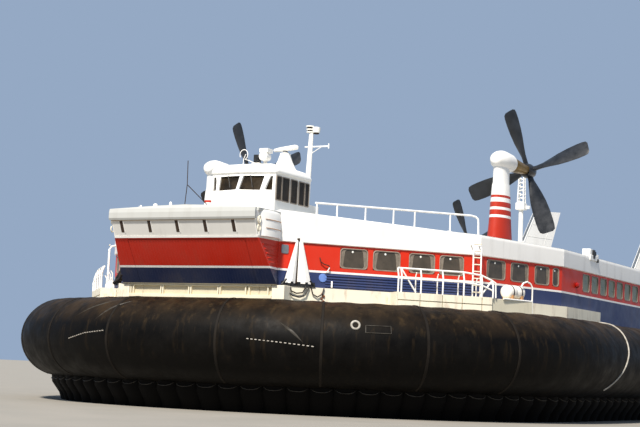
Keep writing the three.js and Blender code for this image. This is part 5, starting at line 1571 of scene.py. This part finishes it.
on_both_sides(roof_lamp, roof_hatches)
walkway = Form().block((-22.5, -0.5, roof_top(0.5)), (17.3, 0.5, roof_top(0) + 0.006))
walkway.piece("roof_walkway", deck_paint, smooth=0)


# Pylons and propellers

POST_SECTIONS = [
    # height above the socket as a share, half chord, half thickness
    (0.0, 1.0, 0.62), (0.03, 0.97, 0.52), (0.06, 0.95, 0.495), (0.25, 0.855, 0.45), (0.54, 0.755, 0.405),
    (0.74, 0.69, 0.355), (0.77, 0.655, 0.32), (1.0, 0.65, 0.315),
]
SEAL_AND_SHADE_SECTIONS = ((0, 1.02, 0.66), (0.05, 1.1, 0.8), (0.12, 1.08, 0.76), (0.14, 0.98, 0.6))
NACELLE_SECTIONS = [
    # forward of the post, radius
    (0.85, 0.1), (0.83, 0.2), (0.76, 0.27), (0.62, 0.34), (0.4, 0.42), (0.1, 0.475), (-0.3, 0.47),
    (-0.55, 0.45), (-0.8, 0.45), (-1.0, 0.41), (-1.1, 0.36),
]
CONE_SECTIONS = [(-1.08, 0.34), (-1.2, 0.355), (-1.6, 0.335), (-2.2, 0.29), (-2.7, 0.25), (-2.98, 0.235)]
HUB_SECTIONS = [(-0.6, 0.05), (-0.55, 0.14), (-0.42, 0.25), (-0.25, 0.33), (0.05, 0.36), (0.35, 0.34),
                (0.5, 0.29)]
SOCKET_TOP_Z = roof_top(PYLON_Y - 1.05) + 0.06
BLADES = 4
BLADE_SECTIONS = [
    # radius, chord, thickness, pitch in degrees from the disc
    (0.25, 0.3, 0.26, 62), (0.5, 0.36, 0.22, 58), (0.8, 0.52, 0.18, 51), (1.2, 0.68, 0.14, 43),
    (1.6, 0.8, 0.12, 36), (2.1, 0.86, 0.095, 30), (2.6, 0.86, 0.075, 25), (2.95, 0.82, 0.06, 22),
    (3.12, 0.74, 0.05, 21), (3.2, 0.5, 0.04, 20),
]
FOIL = [(0.5, 0.0), (0.42, 0.22), (0.25, 0.45), (0.0, 0.52), (-0.25, 0.38), (-0.5, 0.02), (-0.25, -0.22),
        (0.0, -0.38), (0.25, -0.42), (0.42, -0.25)]


def ellipse_ring(x, y, z, half_length, half_width):
    return [(x + half_length * math.cos(a), y + half_width * math.sin(a), z) for a in circle(32)]


def pylon(name, x, y, hub_z):
    shell = Form()
    foot = SOCKET_TOP_Z + 0.002
    top = hub_z - 0.2
    shell.loft([ellipse_ring(x, y, foot + (top - foot) * share, chord, thick)
                for share, chord, thick in POST_SECTIONS])
    shell.turned(NACELLE_SECTIONS[::-1], (x, y, hub_z), AHEAD, 32)
    # A black ring at the pylon's foot: a seal, and painted shade of the fan intake's rim
    seal = Form().loft([ellipse_ring(x, y, foot + up, chord, thick) for up, chord, thick in SEAL_AND_SHADE_SECTIONS])
    seal.piece(f"pylon_seal_and_shade_{name}", rubber_hose, f"pylon_{name}", smooth=40)
    shell.piece(f"pylon_shell_{name}", enamel_pylon, f"pylon_{name}", smooth=40, replaces=[f"pylon_{name}"])
    cone = Form().turned(CONE_SECTIONS[::-1], (x, y, hub_z), AHEAD, 32)
    cone.piece(f"shaft_fairing_{name}", bronze_cone, f"pylon_{name}", smooth=40)


def propeller(name, x, y, hub_z):
    shape = Form()
    hub = Vector((x - PROP_AFT, y, hub_z))
    shape.turned(HUB_SECTIONS, hub, AHEAD, 28)
    for k in range(BLADES):
        turn = Matrix.Rotation(math.radians(PROP_REST_TURN + 360 / BLADES * k), 3, "X")
        rings = []
        for radius, chord, thickness, pitch in BLADE_SECTIONS:
            tilt = math.radians(pitch)
            ring = []
            for c, t in FOIL:
                across, through = c * chord, t * thickness
                local = Vector((across * math.sin(tilt) + through * math.cos(tilt),
                                across * math.cos(tilt) - through * math.sin(tilt), radius))
                ring.append(hub + turn @ local)
            rings.append(ring)
        shape.loft(rings)
    shape.piece(f"propeller_blades_{name}", blade_paint, f"propeller_{name}", smooth=50,
                replaces=[f"propeller_{name}"])


for name, (x, y, hub_z) in PYLONS.items():
    pylon(name, x, y, hub_z)
    propeller(name, x, y, hub_z)


# Studio, with its key light from over the bow

TOWARDS_KEY = (0.642, 0.09, 0.761)
KEY_STRENGTH = 6.2
KEY_SOFTNESS_DEG = 6
KEY_COLOUR = "#FFF8EE"
SKY_COLOUR = "#95A9C4"
FLOOR_HALF = 600


def studio():
    floor = bpy.data.meshes.new("studio_floor")
    floor.from_pydata([(x * FLOOR_HALF, y * FLOOR_HALF, 0) for x, y in ((-1, -1), (1, -1), (1, 1), (-1, 1))],
                      [], [(0, 1, 2, 3)])
    floor.materials.append(mottled("studio_floor_paint", "#8F8A80", "#958F85", 3000, 0.85, strength=0.02))
    ground = bpy.data.objects.new("studio_floor", floor)
    bpy.context.scene.collection.objects.link(ground)
    world = bpy.data.worlds.new("studio_light")
    bpy.context.scene.world = world
    world.use_nodes = True
    background = world.node_tree.nodes["Background"]
    background.inputs["Color"].default_value = linear(SKY_COLOUR)
    background.inputs["Strength"].default_value = 1.0
    key = bpy.data.lights.new("key", "SUN")
    key.energy = KEY_STRENGTH
    key.angle = math.radians(KEY_SOFTNESS_DEG)
    key.color = linear(KEY_COLOUR)[:3]
    lamp = bpy.data.objects.new("key", key)
    lamp.rotation_euler = Vector(TOWARDS_KEY).to_track_quat("Z", "Y").to_euler()
    bpy.context.scene.collection.objects.link(lamp)


studio()
bpy.context.scene.view_settings.view_transform = "Standard"
